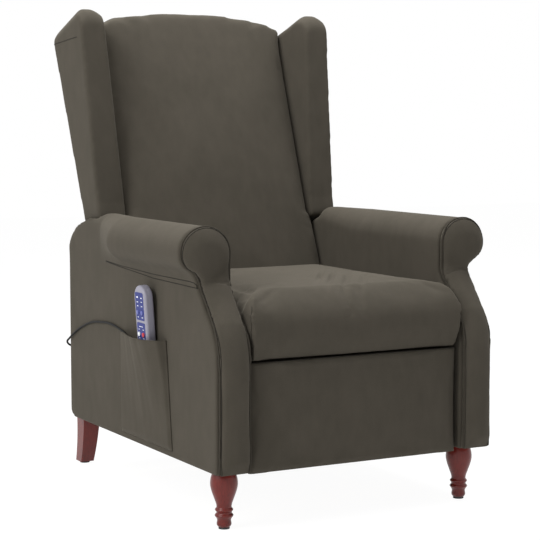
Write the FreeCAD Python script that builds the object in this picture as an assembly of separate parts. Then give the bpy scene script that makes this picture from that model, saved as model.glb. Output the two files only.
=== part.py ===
import FreeCAD, Part
import math
import os
from FreeCAD import Vector as V

# Reclining massage armchair with rolled arms and wings, in millimetres.
# X runs to the sitter's left, the chair faces -Y, Z is up, the floor is Z = 0.

# Shares
half_share = 0.5
quarter_share = 0.25

# Arms, set out from half of the sitting width between them
sit_half = 245.0
arm_thick = 67.0
arm_inner_x = sit_half
arm_side_x = arm_inner_x + arm_thick
arm_bottom = 113.0
arm_top = 584.0
arm_front = -428.0
scroll_front = -343.0
knee_top = 330.0
knee_bend = 100.0
scroll_bend = 40.0
ogee_angle = 40.0
arm_rear_low = 330.0
arm_rear_high = 331.0
arm_rear_shoulder = 502.0
rear_slope_y = 250.0
rear_slope_z = 560.0
rear_slope_start = 130.0
rear_bulge = 7.0
rear_corner = 24.0
roll_overhang = 38.0
roll_tail = 3.0
roll_neck = 467.0
roll_taper_start = 20.0
roll_taper_end = 140.0
rear_shelf_start = 168.0
rear_shelf_high = 562.0
rear_shelf_z = 497.0
rear_rim = 11.0
facing_thick = 14.0
facing_inset = 1.5

# Arm frames
frame_board = 18.0
frame_inset = 20.0
frame_board_x = arm_inner_x + frame_inset
frame_margin = 14.0
frame_top_margin = 70.0
frame_web = 62.0

# Legs
leg_x = frame_board_x + frame_board * half_share
front_leg_y = -370.0
leg_top_r = 22.0
leg_bulb_r = 27.0
leg_bulb_z = 87.0
leg_neck_r = 14.75
leg_neck_z = 40.0
leg_ring_r = 18.3
leg_ring_half = 6.0
leg_ring_z = 28.0
leg_foot_r = 13.5
leg_foot_z = 16.0
rear_leg_top = 40.0
rear_leg_foot = 31.0
rear_leg_top_y = 315.0
rear_leg_foot_y = 340.0
rear_leg_belly = 9.0
glide_r = 11.0
glide_high = 4.0
bolt_r = 4.0
bolt_in_frame = 34.0
bolt_in_leg = 30.0

# Base stretchers, slide tracks and rear panel
stretcher_wide = 96.0
stretcher_thick = 24.0
stretcher_z = 124.0
front_stretcher_y = -292.0
rear_stretcher_y = 120.0
track_inset = 26.0
track_wide = 22.0
track_groove = 12.0
track_wall_high = 15.0
track_floor = 10.0
track_clear = 0.4
slide_angle = 25.0
slide_travel = 36.0
runner_long = 34.0
rear_panel_y = 306.0
rear_panel_thick = 12.0
rear_panel_top = 330.0
control_wide = 150.0
control_deep = 80.0
control_high = 42.0
control_round = 6.0
socket_r = 9.0
socket_x = 150.0
socket_z = 170.0
socket_lip = 3.0
socket_deep = 26.0
jack_r = 4.0

# Seat
seat_gap = 7.0
seat_half = sit_half - seat_gap
seat_draw_in = 8.0
seat_bottom = 328.0
seat_front = -427.0
seat_front_foot = -408.0
seat_bulge_z = 388.0
seat_lip_y = -398.0
seat_lip_z = 446.0
seat_roll_y = -350.0
seat_roll_z = 462.0
seat_crown_z = 469.0
seat_crown_y = -140.0
seat_rear_z = 456.0
seat_rear_low = 74.0
seat_rear_high = 108.0
seat_shoulder = 22.0
seat_shoulder_x = seat_half - seat_shoulder
seat_shoulder_z = 458.0
seat_frame_gap = 23.0
seat_frame_half = sit_half - seat_frame_gap
track_x = seat_frame_half - track_inset
seat_frame_rail = 34.0
seat_frame_high = 36.0
seat_frame_front = -364.0
seat_frame_rear = 150.0
web_thick = 2.0
seat_web_wide = 55.0
seat_web_count = 5
plate_thick = 4.0
plate_margin = 13.0
plate_web = 46.0

# Footrest
rest_gap = 6.0
rest_half = sit_half - rest_gap
rest_bottom = 109.0
rest_top = 323.0
rest_front = -427.0
rest_edge_y = -408.0
rest_pad_rear = -388.0
rest_draw_in = 7.0
rest_corner = 24.0
board_thick = 12.0
board_margin = 14.0
link_long = 170.0
link_wide = 16.0
link_thick = 4.0
link_gap = 0.5
link_closed = 83.5
link_open = 6.5
pivot_y = -318.0
pivot_z = 297.0
pin_r = 4.0
pin_clear = 0.05
pin_head_r = 6.5
pin_head = 1.6
bracket_high = 90.0
bracket_foot = 22.0

# Back, laid out upright and then leaned about the seat crease
back_lean = 19.5
crease_y = 140.0
crease_z = 449.0
back_gap = 7.0
back_half = sit_half - back_gap
back_crown = 24.0
back_edge_draw = 4.0
back_taper = 5.5
back_waist = 40.0
back_cushion_rear = 30.0
back_bottom = -116.0
back_top_side = 580.0
back_top_mid = 608.0
back_top_round = 22.0
back_frame_deep = 28.0
back_stile = 40.0
back_rail_low = -108.0
back_rail_high = 556.0
back_rail = 52.0
back_lip_drop = 16.0
outside_draw = 5.0
frame_draw = 2.0
outside_half = back_half - outside_draw
outside_thick = 14.0
outside_crown = 9.0
outside_bottom = -70.0
outside_drop = 3.0
strap_wide = 50.0
strap_low = 40.0
strap_step = 125.0
strap_count = 4
pad_half = 130.0
pad_high = 90.0
pad_thick = 3.0
pad_low = 232.0

# Wings
wing_inner = outside_half
wing_flare_out = 23.0
wing_thick_low = 66.0
wing_thick_high = 81.0
wing_flare = wing_inner + wing_flare_out
wing_outer_low = wing_inner + wing_thick_low
wing_outer_high = wing_inner + wing_thick_high
wing_bottom = 139.0
wing_top = 597.0
wing_front_low = 1.0
wing_front_high = 85.0
wing_front_high_z = 548.0
wing_nose = 64.0
wing_rear = 84.0
wing_rear_round = 22.0
wing_ply = 9.0
wing_ply_in = 35.0
wing_ply_x = wing_inner + wing_ply_in
wing_ply_margin = 28.0

# Recline hinge
hinge_y = 205.0
hinge_z = 312.0
hinge_r = 7.0
hinge_clear = 0.05
hinge_eye_r = 16.0
bracket_thick = 5.0
bracket_wide = 30.0
bracket_rise = 90.0
recline_max = 28.0

# Vibration motors
motor_r = 30.0
motor_deep = 22.0
motor_wall = 2.5
motor_fit = 0.4
rotor_r = 20.0
rotor_thick = 8.0
shaft_r = 3.0
shaft_clear = 0.05
shaft_long = 14.0
boss_r = 7.0
boss_high = 5.0
back_motor_x = 105.0
seat_motor_x = 95.0
seat_motor_y = -150.0

# Side pocket and handset
pocket_wall = 2.0
pocket_foot_out = 4.0
pocket_mouth_out = 37.5
pocket_bottom = 128.0
pocket_mouth = 338.0
pocket_rear = 30.0
pocket_rear_z = 338.0
pocket_front_low = -219.0
pocket_front_high = -193.0
pocket_front_z = 349.0
pocket_dip_y = -60.0
pocket_dip_z = 331.0
pocket_sag = 2.5
handset_long = 150.0
handset_wide = 50.0
handset_thick = 20.0
handset_round = 18.0
handset_y = -125.0
handset_lean = 4.0
handset_foot_z = 305.0
handset_gap = 4.0
handset_rest = 0.4
handset_skin = 2.0
overlay_thick = 0.8
overlay_margin = 6.0
overlay_low = 38.0
overlay_split = 74.0
overlay_gap = 5.0
overlay_top = 136.0
overlay_round = 5.0
overlay_seat = 0.3
circuit_thick = 1.6
circuit_gap = 6.0
key_r = 4.5
key_high = 2.6
key_clear = 0.25
key_travel = 0.9
key_step_z = 45.0
key_step_y = 10.0
key_first = 50.0
key_rows = 2

# Handset lead: from the handset down into the pocket, out over its rear corner and round to the rear panel
lead_r = 2.25
lead_gap = 0.3
lead_drop = 0.8
lead_off = 0.45
lead_low_z = 255.0
lead_low_y = -35.0
lead_low_off = 3.8
lead_rise_y = -4.0
lead_rise_z = 338.0
lead_rear_off = 5.3
lead_rear_gap = 6.0
lead_rear_z = 280.0
lead_hang_bend = 25.0
lead_low_bend = 40.0
lead_rise_bend = 40.0
lead_arch = [(85.8, 353.3, 300.0), (193.0, 344.7, 300.0), (278.0, 316.7, 250.0)]
lead_rear_bend = 18.0
gland_r = 7.0
gland_lip = 3.0
gland_inset = 13.0
gland_x = gland_inset - sit_half
gland_z = 238.0
lead_hang_x = -arm_side_x - handset_thick * half_share
lead_side_x = -arm_side_x - lead_r - lead_off
lead_rear_y = arm_rear_high + lead_rear_gap
lead_end_y = rear_panel_y + rear_panel_thick + gland_lip + lead_gap
lead_route = [
    (lead_hang_x, handset_y, handset_foot_z - lead_drop, 0),
    (lead_hang_x, handset_y, lead_low_z, lead_hang_bend),
    (lead_side_x - lead_low_off, lead_low_y, lead_low_z, lead_low_bend),
    (lead_side_x, lead_rise_y, lead_rise_z, lead_rise_bend),
    *[(lead_side_x, y, z, bend) for y, z, bend in lead_arch],
    (lead_side_x - lead_rear_off, lead_rear_y, lead_rear_z, lead_rear_bend),
    (gland_x, lead_rear_y, gland_z, lead_rear_bend),
    (gland_x, lead_end_y, gland_z, 0),
]

# Cutters reach this far past what they cut
overrun = 5.0

os.makedirs("parts", exist_ok=True)


def at(plane, a, b):
    """Point (a, b) of an outline drawn in the xz, yz or xy plane."""
    if plane == "xz":
        return V(a, 0, b)
    if plane == "yz":
        return V(0, a, b)
    return V(a, b, 0)


def wire(plane, start, steps):
    """Closed outline from start: a point makes a line, a pair of points an arc via the first."""
    edges = []
    here = start
    for step in steps + [start]:
        arc = isinstance(step[0], tuple)
        end = step[1] if arc else step
        if arc:
            middle = at(plane, *step[0])
            edges.append(Part.Arc(at(plane, *here), middle, at(plane, *end)).toShape())
        elif end != here:
            edges.append(Part.makeLine(at(plane, *here), at(plane, *end)))
        here = end
    return Part.Wire(edges)


def prism(plane, low, high, start, steps):
    """Outline extruded across its plane from low to high."""
    normal = {"xz": V(0, 1, 0), "yz": V(1, 0, 0), "xy": V(0, 0, 1)}[plane]
    face = Part.Face(wire(plane, start, steps))
    face.translate(normal * low)
    return face.extrude(normal * (high - low))


def block(x0, x1, y0, y1, z0, z1):
    """Box between two corners."""
    return Part.makeBox(x1 - x0, y1 - y0, z1 - z0, V(x0, y0, z0))


def rod(start, axis, radius, length):
    """Cylinder from a point along an axis."""
    return Part.makeCylinder(radius, length, start, axis)


def mirrored(shape):
    """The same piece on the other side of the chair."""
    return shape.mirror(V(0, 0, 0), V(1, 0, 0))


def both(shape):
    """A piece and its mirror image as one pair."""
    return Part.makeCompound([shape, mirrored(shape)])


def joined(shapes):
    """Several overlapping shapes as one solid."""
    result = shapes[0]
    for shape in shapes[1:]:
        result = result.fuse(shape)
    return result.removeSplitter()


chair = {}


def save(name, shape):
    """Keep a finished piece under its name."""
    chair[name] = shape


def leaned(shape):
    """A piece of the back, laid out upright at the crease, leaned to its rest angle."""
    shape.rotate(V(0, 0, 0), V(1, 0, 0), -back_lean)
    shape.translate(V(0, crease_y, crease_z))
    return shape


# Arm forms

def arm_section(y, overhang, inset):
    """Closed section of the arm at one place along it: upright inside, roll on top, S-neck outside."""
    inner = arm_inner_x + inset
    side = arm_side_x - inset
    outer = side + overhang
    top = arm_top - inset
    radius = (outer - inner) * half_share
    mid = inner + radius
    centre = top - radius
    drop = centre - roll_neck
    bend = (overhang * overhang + drop * drop) / (4 * overhang)
    turn = math.asin(drop * half_share / bend) * half_share
    waist = ((outer + side) * half_share, (centre + roll_neck) * half_share)
    upper = (outer - bend + bend * math.cos(turn), centre - bend * math.sin(turn))
    lower = (side + bend - bend * math.cos(turn), roll_neck + bend * math.sin(turn))
    diagonal = radius * math.sqrt(half_share)
    steps = [
        (inner, centre),
        ((mid - diagonal, centre + diagonal), (mid, top)),
        ((mid + diagonal, centre + diagonal), (outer, centre)),
        (upper, waist),
        (lower, (side, roll_neck)),
        (side, arm_bottom + inset),
    ]
    outline = wire("xz", (inner, arm_bottom + inset), steps)
    outline.translate(V(0, y, 0))
    return outline


ogee = math.radians(ogee_angle)
ogee_run = scroll_front - arm_front
ogee_bends = knee_bend + scroll_bend
ogee_straight = (ogee_run - ogee_bends * (1 - math.cos(ogee))) / math.sin(ogee)
ogee_rise = ogee_bends * math.sin(ogee) + ogee_straight * math.cos(ogee)
scroll_foot = knee_top + ogee_rise


def front_steps(shift):
    """Front profile of the arm from its foot to its top: upright, knee, slope, hollow, upright."""
    low = arm_front + shift
    high = scroll_front + shift
    part = ogee * half_share
    knee = (low + knee_bend * (1 - math.cos(part)), knee_top + knee_bend * math.sin(part))
    knee_end = (low + knee_bend * (1 - math.cos(ogee)), knee_top + knee_bend * math.sin(ogee))
    hollow_start = (high - scroll_bend * (1 - math.cos(ogee)), scroll_foot - scroll_bend * math.sin(ogee))
    hollow = (high - scroll_bend * (1 - math.cos(part)), scroll_foot - scroll_bend * math.sin(part))
    return [(low, knee_top), (knee, knee_end), hollow_start, (hollow, (high, scroll_foot))]


def arm_side_prism(shift):
    """Side view of the arm behind its facing, extruded across the arm."""
    crest = arm_top + overrun
    slope = ((rear_slope_start + rear_slope_y) * half_share,
             arm_top - (arm_top - rear_slope_z) * quarter_share)
    bulge = ((arm_rear_high + rear_slope_y) * half_share + rear_bulge,
             (rear_slope_z + arm_rear_shoulder) * half_share + rear_bulge)
    corner = rear_corner * (1 - math.sqrt(half_share))
    steps = front_steps(shift) + [
        (scroll_front + shift, crest),
        (rear_slope_start, crest),
        (rear_slope_start, arm_top),
        (slope, (rear_slope_y, rear_slope_z)),
        (bulge, (arm_rear_high, arm_rear_shoulder)),
        (arm_rear_low, arm_bottom + rear_corner),
        ((arm_rear_low - corner, arm_bottom + corner), (arm_rear_low - rear_corner, arm_bottom)),
    ]
    return prism("yz", arm_inner_x - overrun, arm_side_x + roll_overhang + overrun,
                 (arm_front + shift, arm_bottom), steps)


stations = [
    arm_section(arm_front, roll_overhang, 0),
    arm_section(roll_taper_start, roll_overhang, 0),
    arm_section(roll_taper_end, roll_tail, 0),
    arm_section(arm_rear_high + overrun, roll_tail, 0),
]
arm_whole = Part.makeLoft(stations, True, True).common(arm_side_prism(facing_thick))

# The plywood arm frame stands in a slot that opens below
board_front = arm_front + facing_thick + frame_margin
board_scroll = scroll_front + facing_thick + frame_margin
board_top = arm_top - frame_top_margin
board_rear = arm_rear_low - frame_margin
board_shelf = rear_shelf_z - frame_margin
board_knee = knee_top - frame_margin
board_outline = [
    (board_front, board_knee),
    (board_scroll, scroll_foot),
    (board_scroll, board_top),
    (rear_shelf_start - frame_margin, board_top),
    (rear_shelf_start - frame_margin, board_shelf),
    (board_rear, board_shelf),
    (board_rear, arm_bottom),
]
frame_far_x = frame_board_x + frame_board
arm_board = prism("yz", frame_board_x, frame_far_x, (board_front, arm_bottom), board_outline)
window = block(frame_board_x - overrun, frame_far_x + overrun,
               board_front + frame_web, board_rear - frame_web,
               stretcher_z + stretcher_thick + frame_web, board_shelf - frame_web)
arm_frame = arm_board.cut(window)

stretcher_top = stretcher_z + stretcher_thick


def stretcher(y):
    return block(-frame_board_x, frame_board_x, y, y + stretcher_wide, stretcher_z, stretcher_top)


front_stretcher = stretcher(front_stretcher_y)
rear_stretcher = stretcher(rear_stretcher_y)
shelf_cut = prism("yz", arm_inner_x - overrun, arm_side_x - rear_rim, (rear_shelf_start, rear_shelf_high),
                  [(rear_shelf_start, arm_top + overrun),
                   (arm_rear_high + overrun, arm_top + overrun),
                   (arm_rear_high + overrun, rear_shelf_z)])
arm_pad = arm_whole.cut(arm_board).cut(shelf_cut).cut(front_stretcher).cut(rear_stretcher)

# Arm facing: the section outline cut to a curved band that follows the front profile
band = arm_side_prism(0).cut(arm_side_prism(facing_thick))
face_core = Part.Face(arm_section(arm_front - overrun, roll_overhang, facing_inset))
face_core = face_core.extrude(V(0, scroll_front - arm_front + facing_thick + overrun, 0))
front_cap = block(arm_inner_x - overrun, arm_side_x + roll_overhang + overrun, arm_front - overrun,
                  scroll_front + facing_thick, arm_bottom, arm_top + overrun)
arm_front_panel = face_core.common(band).common(front_cap)

save("arm_pad_l", arm_pad)
save("arm_front_l", arm_front_panel)
save("front_stretcher", front_stretcher)
save("rear_stretcher", rear_stretcher)

# Legs

def front_leg():
    """Turned leg: bulb, waist, ring and foot."""
    ring_low = leg_ring_z - leg_ring_half
    ring_high = leg_ring_z + leg_ring_half
    shoulder = ((leg_top_r + leg_bulb_r) * half_share + (leg_bulb_r - leg_top_r) * quarter_share,
                (arm_bottom + leg_bulb_z) * half_share)
    flank_z = (leg_bulb_z + leg_neck_z) * half_share
    flank = (leg_neck_r + (leg_bulb_r - leg_neck_r) * half_share, flank_z)
    steps = [
        (0, arm_bottom),
        (leg_top_r, arm_bottom),
        (shoulder, (leg_bulb_r, leg_bulb_z)),
        ((flank[0] + leg_ring_half * quarter_share, flank_z), (leg_neck_r, leg_neck_z)),
        (leg_neck_r, ring_high),
        ((leg_ring_r, leg_ring_z), (leg_neck_r, ring_low)),
        (leg_neck_r, leg_foot_z),
        (leg_foot_r, glide_high),
        (0, glide_high),
    ]
    face = Part.Face(wire("xz", (0, arm_bottom), steps[1:]))
    return face.revolve(V(0, 0, 0), V(0, 0, 1), 360)


def rear_leg():
    """Square sabre leg, tapering to the foot and swept to the rear."""
    top_half = rear_leg_top * half_share
    foot_half = rear_leg_foot * half_share
    belly_z = (arm_bottom + glide_high) * half_share
    belly_y = (rear_leg_top_y + rear_leg_foot_y) * half_share - rear_leg_belly * half_share
    mid_half = (top_half + foot_half) * half_share
    steps = [
        ((belly_y - mid_half, belly_z), (rear_leg_foot_y - foot_half, glide_high)),
        (rear_leg_foot_y + foot_half, glide_high),
        ((belly_y + mid_half, belly_z), (rear_leg_top_y + top_half, arm_bottom)),
    ]
    side = prism("yz", -top_half, top_half, (rear_leg_top_y - top_half, arm_bottom), steps)
    taper = prism("xz", rear_leg_top_y - rear_leg_top, rear_leg_foot_y + rear_leg_top,
                  (-top_half, arm_bottom),
                  [(-foot_half, glide_high), (foot_half, glide_high), (top_half, arm_bottom)])
    return side.common(taper)


rear_bolt_y = min(rear_leg_top_y, board_rear - bolt_r - bolt_r)
bolt_low = arm_bottom - bolt_in_leg
bolt_long = bolt_in_leg + bolt_in_frame
front_bolt = rod(V(leg_x, front_leg_y, bolt_low), V(0, 0, 1), bolt_r, bolt_long)
rear_bolt = rod(V(leg_x, rear_bolt_y, bolt_low), V(0, 0, 1), bolt_r, bolt_long)
turned = front_leg()
turned.translate(V(leg_x, front_leg_y, 0))
turned = turned.cut(front_bolt)
sabre = rear_leg()
sabre.translate(V(leg_x, 0, 0))
sabre = sabre.cut(rear_bolt)
arm_frame = arm_frame.cut(front_bolt).cut(rear_bolt)
front_glide = rod(V(leg_x, front_leg_y, 0), V(0, 0, 1), glide_r, glide_high)
rear_glide = rod(V(leg_x, rear_leg_foot_y, 0), V(0, 0, 1), glide_r, glide_high)
bolts = [front_bolt, rear_bolt]
glides = [front_glide, rear_glide]
save("leg_bolts", Part.makeCompound(bolts + [mirrored(b) for b in bolts]))
save("leg_glides", Part.makeCompound(glides + [mirrored(g) for g in glides]))
save("front_legs", both(turned))
save("rear_legs", both(sabre))
save("arm_frame_l", arm_frame)
save("arm_frame_r", mirrored(arm_frame))
save("arm_pad_r", mirrored(arm_pad))
save("arm_front_r", mirrored(arm_front_panel))

# Slide tracks on the stretchers and runners under the seat, both along the slide angle
slope = math.tan(math.radians(slide_angle))
track_near_x = track_x - track_wide * half_share
track_far_x = track_x + track_wide * half_share
groove_half = track_groove * half_share
seat_rail_low = seat_bottom - web_thick - seat_frame_high
runner_half = groove_half - track_clear
runner_rise = (runner_long) * slope


def track(y):
    """Wedge track with an open groove that climbs to the front."""
    rear = y + stretcher_wide
    floor_rear = stretcher_top + track_floor
    floor_front = floor_rear + stretcher_wide * slope
    wedge = prism("yz", track_near_x, track_far_x, (y, stretcher_top),
                  [(y, floor_front + track_wall_high),
                   (rear, floor_rear + track_wall_high),
                   (rear, stretcher_top)])
    groove = prism("yz", track_x - groove_half, track_x + groove_half,
                   (y - overrun, floor_front + overrun * slope),
                   [(y - overrun, floor_front + track_wall_high + stretcher_wide),
                    (rear + overrun, floor_front + track_wall_high + stretcher_wide),
                    (rear + overrun, floor_rear - overrun * slope)])
    return wedge.cut(groove)


def runner(y):
    """Sliding shoe with its hanger, at the low end of its track."""
    rear = y + stretcher_wide
    front = rear - runner_long
    floor = stretcher_top + track_floor + track_clear
    shoe = [(front, floor + runner_rise), (front, seat_rail_low), (rear, seat_rail_low)]
    return prism("yz", track_x - runner_half, track_x + runner_half, (rear, floor), shoe)


tracks = [track(front_stretcher_y), track(rear_stretcher_y)]
runners = [runner(front_stretcher_y), runner(rear_stretcher_y)]
save("slide_tracks", Part.makeCompound(tracks + [mirrored(t) for t in tracks]))
save("seat_runners", Part.makeCompound(runners + [mirrored(r) for r in runners]))

# Rear panel with the power inlet, and the control box on the rear stretcher
panel = block(-arm_inner_x, arm_inner_x, rear_panel_y, rear_panel_y + rear_panel_thick,
              arm_bottom, rear_panel_top)
panel_rear = rear_panel_y + rear_panel_thick
inlet = rod(V(-socket_x, panel_rear - socket_deep, socket_z), V(0, 1, 0), socket_r, socket_deep)
flange = rod(V(-socket_x, panel_rear, socket_z), V(0, 1, 0), socket_r + socket_lip, socket_lip)
jack = rod(V(-socket_x, panel_rear - socket_deep + socket_lip, socket_z), V(0, 1, 0), jack_r,
           socket_deep + overrun)
gland = joined([
    rod(V(gland_x, rear_panel_y, gland_z), V(0, 1, 0), gland_r, rear_panel_thick),
    rod(V(gland_x, panel_rear, gland_z), V(0, 1, 0), gland_r + gland_lip, gland_lip),
])
save("rear_panel", panel.cut(inlet).cut(gland))
save("lead_gland", gland)
save("power_inlet", joined([inlet, flange]).cut(jack))
control_mid = rear_stretcher_y + stretcher_wide * half_share
control = block(-control_wide * half_share, control_wide * half_share,
                control_mid - control_deep * half_share,
                control_mid + control_deep * half_share, stretcher_top, stretcher_top + control_high)
upright = [e for e in control.Edges if abs(e.Vertexes[0].Z - e.Vertexes[1].Z) > control_round]
save("control_box", control.makeFillet(control_round, upright))

# Seat frame, webbing and the slotted side plates
rail_top = seat_bottom - web_thick
frame_outer = block(-seat_frame_half, seat_frame_half, seat_frame_front, seat_frame_rear,
                    seat_rail_low, rail_top)
frame_inner = block(-seat_frame_half + seat_frame_rail, seat_frame_half - seat_frame_rail,
                    seat_frame_front + seat_frame_rail, seat_frame_rear - seat_frame_rail,
                    seat_rail_low - overrun, rail_top + overrun)
save("seat_frame", frame_outer.cut(frame_inner))
web_pitch = (seat_frame_half + seat_frame_half - seat_web_wide) / (seat_web_count - 1)
webs = []
for index in range(seat_web_count):
    left = -seat_frame_half + index * web_pitch
    webs.append(block(left, left + seat_web_wide, seat_frame_front, seat_rear_low, rail_top, seat_bottom))
save("seat_webbing", Part.makeCompound(webs))

plate_inner = seat_frame_half
plate_outer = plate_inner + plate_thick
layer_b = plate_outer + link_gap
layer_a = layer_b + link_thick + link_gap
layer_end = layer_a + link_thick
reach = link_long * math.cos(math.radians(link_closed))
drop = link_long * math.sin(math.radians(link_closed))
rise_open = link_long * math.sin(math.radians(link_open))
slot_half = pin_r + pin_clear + pin_clear
slot_top = pivot_z - rise_open + slot_half
slot_low = pivot_z - drop - slot_half
plate_front = pivot_y - plate_margin
plate_rear = pivot_y + plate_margin
plate_steps = [
    (plate_front, rail_top),
    (hinge_y, rail_top),
    ((hinge_y + hinge_eye_r, hinge_z), (hinge_y, hinge_z - hinge_eye_r)),
    (hinge_y - plate_web, seat_rail_low),
    (plate_rear + plate_web, seat_rail_low),
    (plate_rear, seat_rail_low - plate_web),
    (plate_rear, slot_low - plate_margin * half_share),
]
plate_foot = slot_low - plate_margin * half_share
plate = prism("yz", plate_inner, plate_outer, (plate_front, plate_foot), plate_steps)
slot = joined([
    block(plate_inner - overrun, plate_outer + overrun, pivot_y - slot_half, pivot_y + slot_half,
          slot_low + slot_half, slot_top - slot_half),
    rod(V(plate_inner - overrun, pivot_y, slot_low + slot_half), V(1, 0, 0), slot_half,
        plate_thick + overrun + overrun),
    rod(V(plate_inner - overrun, pivot_y, slot_top - slot_half), V(1, 0, 0), slot_half,
        plate_thick + overrun + overrun),
])
pivot_pin = rod(V(plate_inner, pivot_y, pivot_z), V(1, 0, 0), pin_r, layer_end - plate_inner + link_gap)
pivot_head = rod(V(layer_end + link_gap, pivot_y, pivot_z), V(1, 0, 0), pin_head_r, pin_head)
hinge_pin_start = plate_inner - bracket_thick - link_gap
hinge_pin = rod(V(hinge_pin_start, hinge_y, hinge_z), V(1, 0, 0), hinge_r, plate_outer - hinge_pin_start)
hinge_head = rod(V(plate_outer, hinge_y, hinge_z), V(1, 0, 0), hinge_r + pin_head, pin_head)
plate = plate.cut(slot).cut(pivot_pin).cut(hinge_pin)
save("seat_plate_l", plate)
save("seat_plate_r", mirrored(plate))
pivots = [joined([pivot_pin, pivot_head]), joined([hinge_pin, hinge_head])]
save("seat_pivots", Part.makeCompound(pivots + [mirrored(p) for p in pivots]))

# Footrest links: two crossed pairs that reach forward and carry the board

def link(x0, y0, z0, y1, z1):
    """Flat bar with round ends between two pivots."""
    r = link_wide * half_share
    span = math.hypot(y1 - y0, z1 - z0)
    bar = block(x0, x0 + link_thick, 0, span, -r, r)
    ends = [rod(V(x0, 0, 0), V(1, 0, 0), r, link_thick), rod(V(x0, span, 0), V(1, 0, 0), r, link_thick)]
    bar = joined([bar] + ends)
    bar.rotate(V(0, 0, 0), V(1, 0, 0), math.degrees(math.atan2(z1 - z0, y1 - y0)))
    bar.translate(V(0, y0, z0))
    return bar


def hole(y, z):
    """Running hole for a pin, through every layer."""
    reach = layer_end + overrun - plate_inner
    return rod(V(plate_inner - overrun, y, z), V(1, 0, 0), pin_r + pin_clear, reach)


def stud(x0, x1, y, z):
    """Pin between two planes."""
    return rod(V(x0, y, z), V(1, 0, 0), pin_r, x1 - x0)


top_1 = (pivot_y - reach, pivot_z)
foot_0 = (pivot_y, pivot_z - drop)
foot_1 = (pivot_y - reach, pivot_z - drop)
foot_2 = (pivot_y - reach - reach, pivot_z - drop)
cross_1 = (pivot_y - reach * half_share, pivot_z - drop * half_share)
cross_2 = (cross_1[0] - reach, cross_1[1])
layer_b_end = layer_b + link_thick
stud_foot = plate_inner + link_gap
pins_a = [stud(layer_b, layer_end, *cross_1), stud(layer_b, layer_end, *foot_1)]
pins_b = [stud(stud_foot, layer_b_end, *foot_0), stud(layer_b, layer_end, *top_1)]
pins_c = [stud(layer_b, layer_end, *cross_2)]
link_a = link(layer_a, pivot_y, pivot_z, *foot_1).cut(hole(pivot_y, pivot_z))
link_b = link(layer_b, foot_0[0], foot_0[1], *top_1).cut(hole(*cross_1))
link_d = link(layer_b, foot_1[0], foot_1[1], *cross_2).cut(hole(*foot_1)).cut(hole(*cross_2))
for pin in pins_a:
    link_a = link_a.cut(pin)
for pin in pins_b:
    link_b = link_b.cut(pin)
board_rear_y = rest_pad_rear + board_thick
link_c = link(layer_a, top_1[0], top_1[1], *foot_2)
tab_top = cross_2[1] + bracket_high * half_share
tab_low = cross_2[1] - bracket_high * half_share
tab = block(layer_a, layer_end, board_rear_y, cross_2[0], tab_low, tab_top)
foot = block(layer_end - bracket_foot, layer_end, board_rear_y, board_rear_y + link_thick, tab_low, tab_top)
link_c = joined([link_c, tab, foot]).cut(hole(*top_1))
for pin in pins_c:
    link_c = link_c.cut(pin)
save("footrest_link_a", both(link_a))
save("footrest_link_b", both(link_b))
save("footrest_link_c", both(link_c))
save("footrest_link_d", both(link_d))
save("rivets_a", Part.makeCompound(pins_a + [mirrored(p) for p in pins_a]))
save("rivets_b", Part.makeCompound(pins_b + [mirrored(p) for p in pins_b]))
save("rivets_c", Part.makeCompound(pins_c + [mirrored(p) for p in pins_c]))

board_half = rest_half - board_margin * half_share
board = block(-board_half, board_half, rest_pad_rear, board_rear_y, rest_bottom + board_margin,
              rest_top - board_margin - board_margin)
save("footrest_board", board)
rest_mid = (rest_bottom + rest_top) * half_share
rest_side = prism("yz", -rest_half, rest_half, (rest_pad_rear, rest_bottom),
                  [(rest_pad_rear, rest_top - rest_draw_in),
                   (rest_edge_y + rest_draw_in, rest_top),
                   ((rest_edge_y - rest_draw_in * half_share, rest_top - rest_draw_in * half_share),
                    (rest_edge_y - rest_draw_in, rest_top - rest_corner)),
                   ((rest_front, rest_mid), (rest_edge_y - rest_draw_in, rest_bottom + rest_corner)),
                   ((rest_edge_y - rest_draw_in * half_share, rest_bottom + rest_draw_in * half_share),
                    (rest_edge_y + rest_draw_in, rest_bottom))])
rest_inner = rest_half - rest_draw_in
rest_plan = prism("xy", rest_bottom, rest_top, (-rest_inner, rest_pad_rear),
                  [((-rest_half, (rest_pad_rear + rest_edge_y) * half_share), (-rest_inner, rest_edge_y)),
                   ((0, rest_front), (rest_inner, rest_edge_y)),
                   ((rest_half, (rest_pad_rear + rest_edge_y) * half_share), (rest_inner, rest_pad_rear))])
save("footrest_pad", rest_side.common(rest_plan))

# Seat cushion: side and front views, both crowned, cut to each other
seat_side = prism("yz", -seat_half, seat_half, (seat_front_foot, seat_bottom),
                  [((seat_front, seat_bulge_z), (seat_lip_y, seat_lip_z)),
                   (((seat_lip_y + seat_roll_y) * half_share - seat_draw_in * half_share,
                     seat_roll_z - (seat_roll_z - seat_lip_z) * quarter_share), (seat_roll_y, seat_roll_z)),
                   ((seat_crown_y, seat_crown_z), (seat_rear_high, seat_rear_z)),
                   (seat_rear_low, seat_bottom)])
seat_inner = seat_half - seat_draw_in
seat_flank = (seat_bottom + seat_shoulder_z) * half_share
seat_cross = prism("xz", seat_front - overrun, seat_rear_high + overrun, (-seat_inner, seat_bottom),
                   [((-seat_half, seat_flank), (-seat_shoulder_x, seat_shoulder_z)),
                    ((0, seat_crown_z), (seat_shoulder_x, seat_shoulder_z)),
                    ((seat_half, seat_flank), (seat_inner, seat_bottom))])
seat_cushion = seat_side.common(seat_cross)

# Vibration motors: a cup with a bearing boss, and an eccentric weight on its shaft

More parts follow.
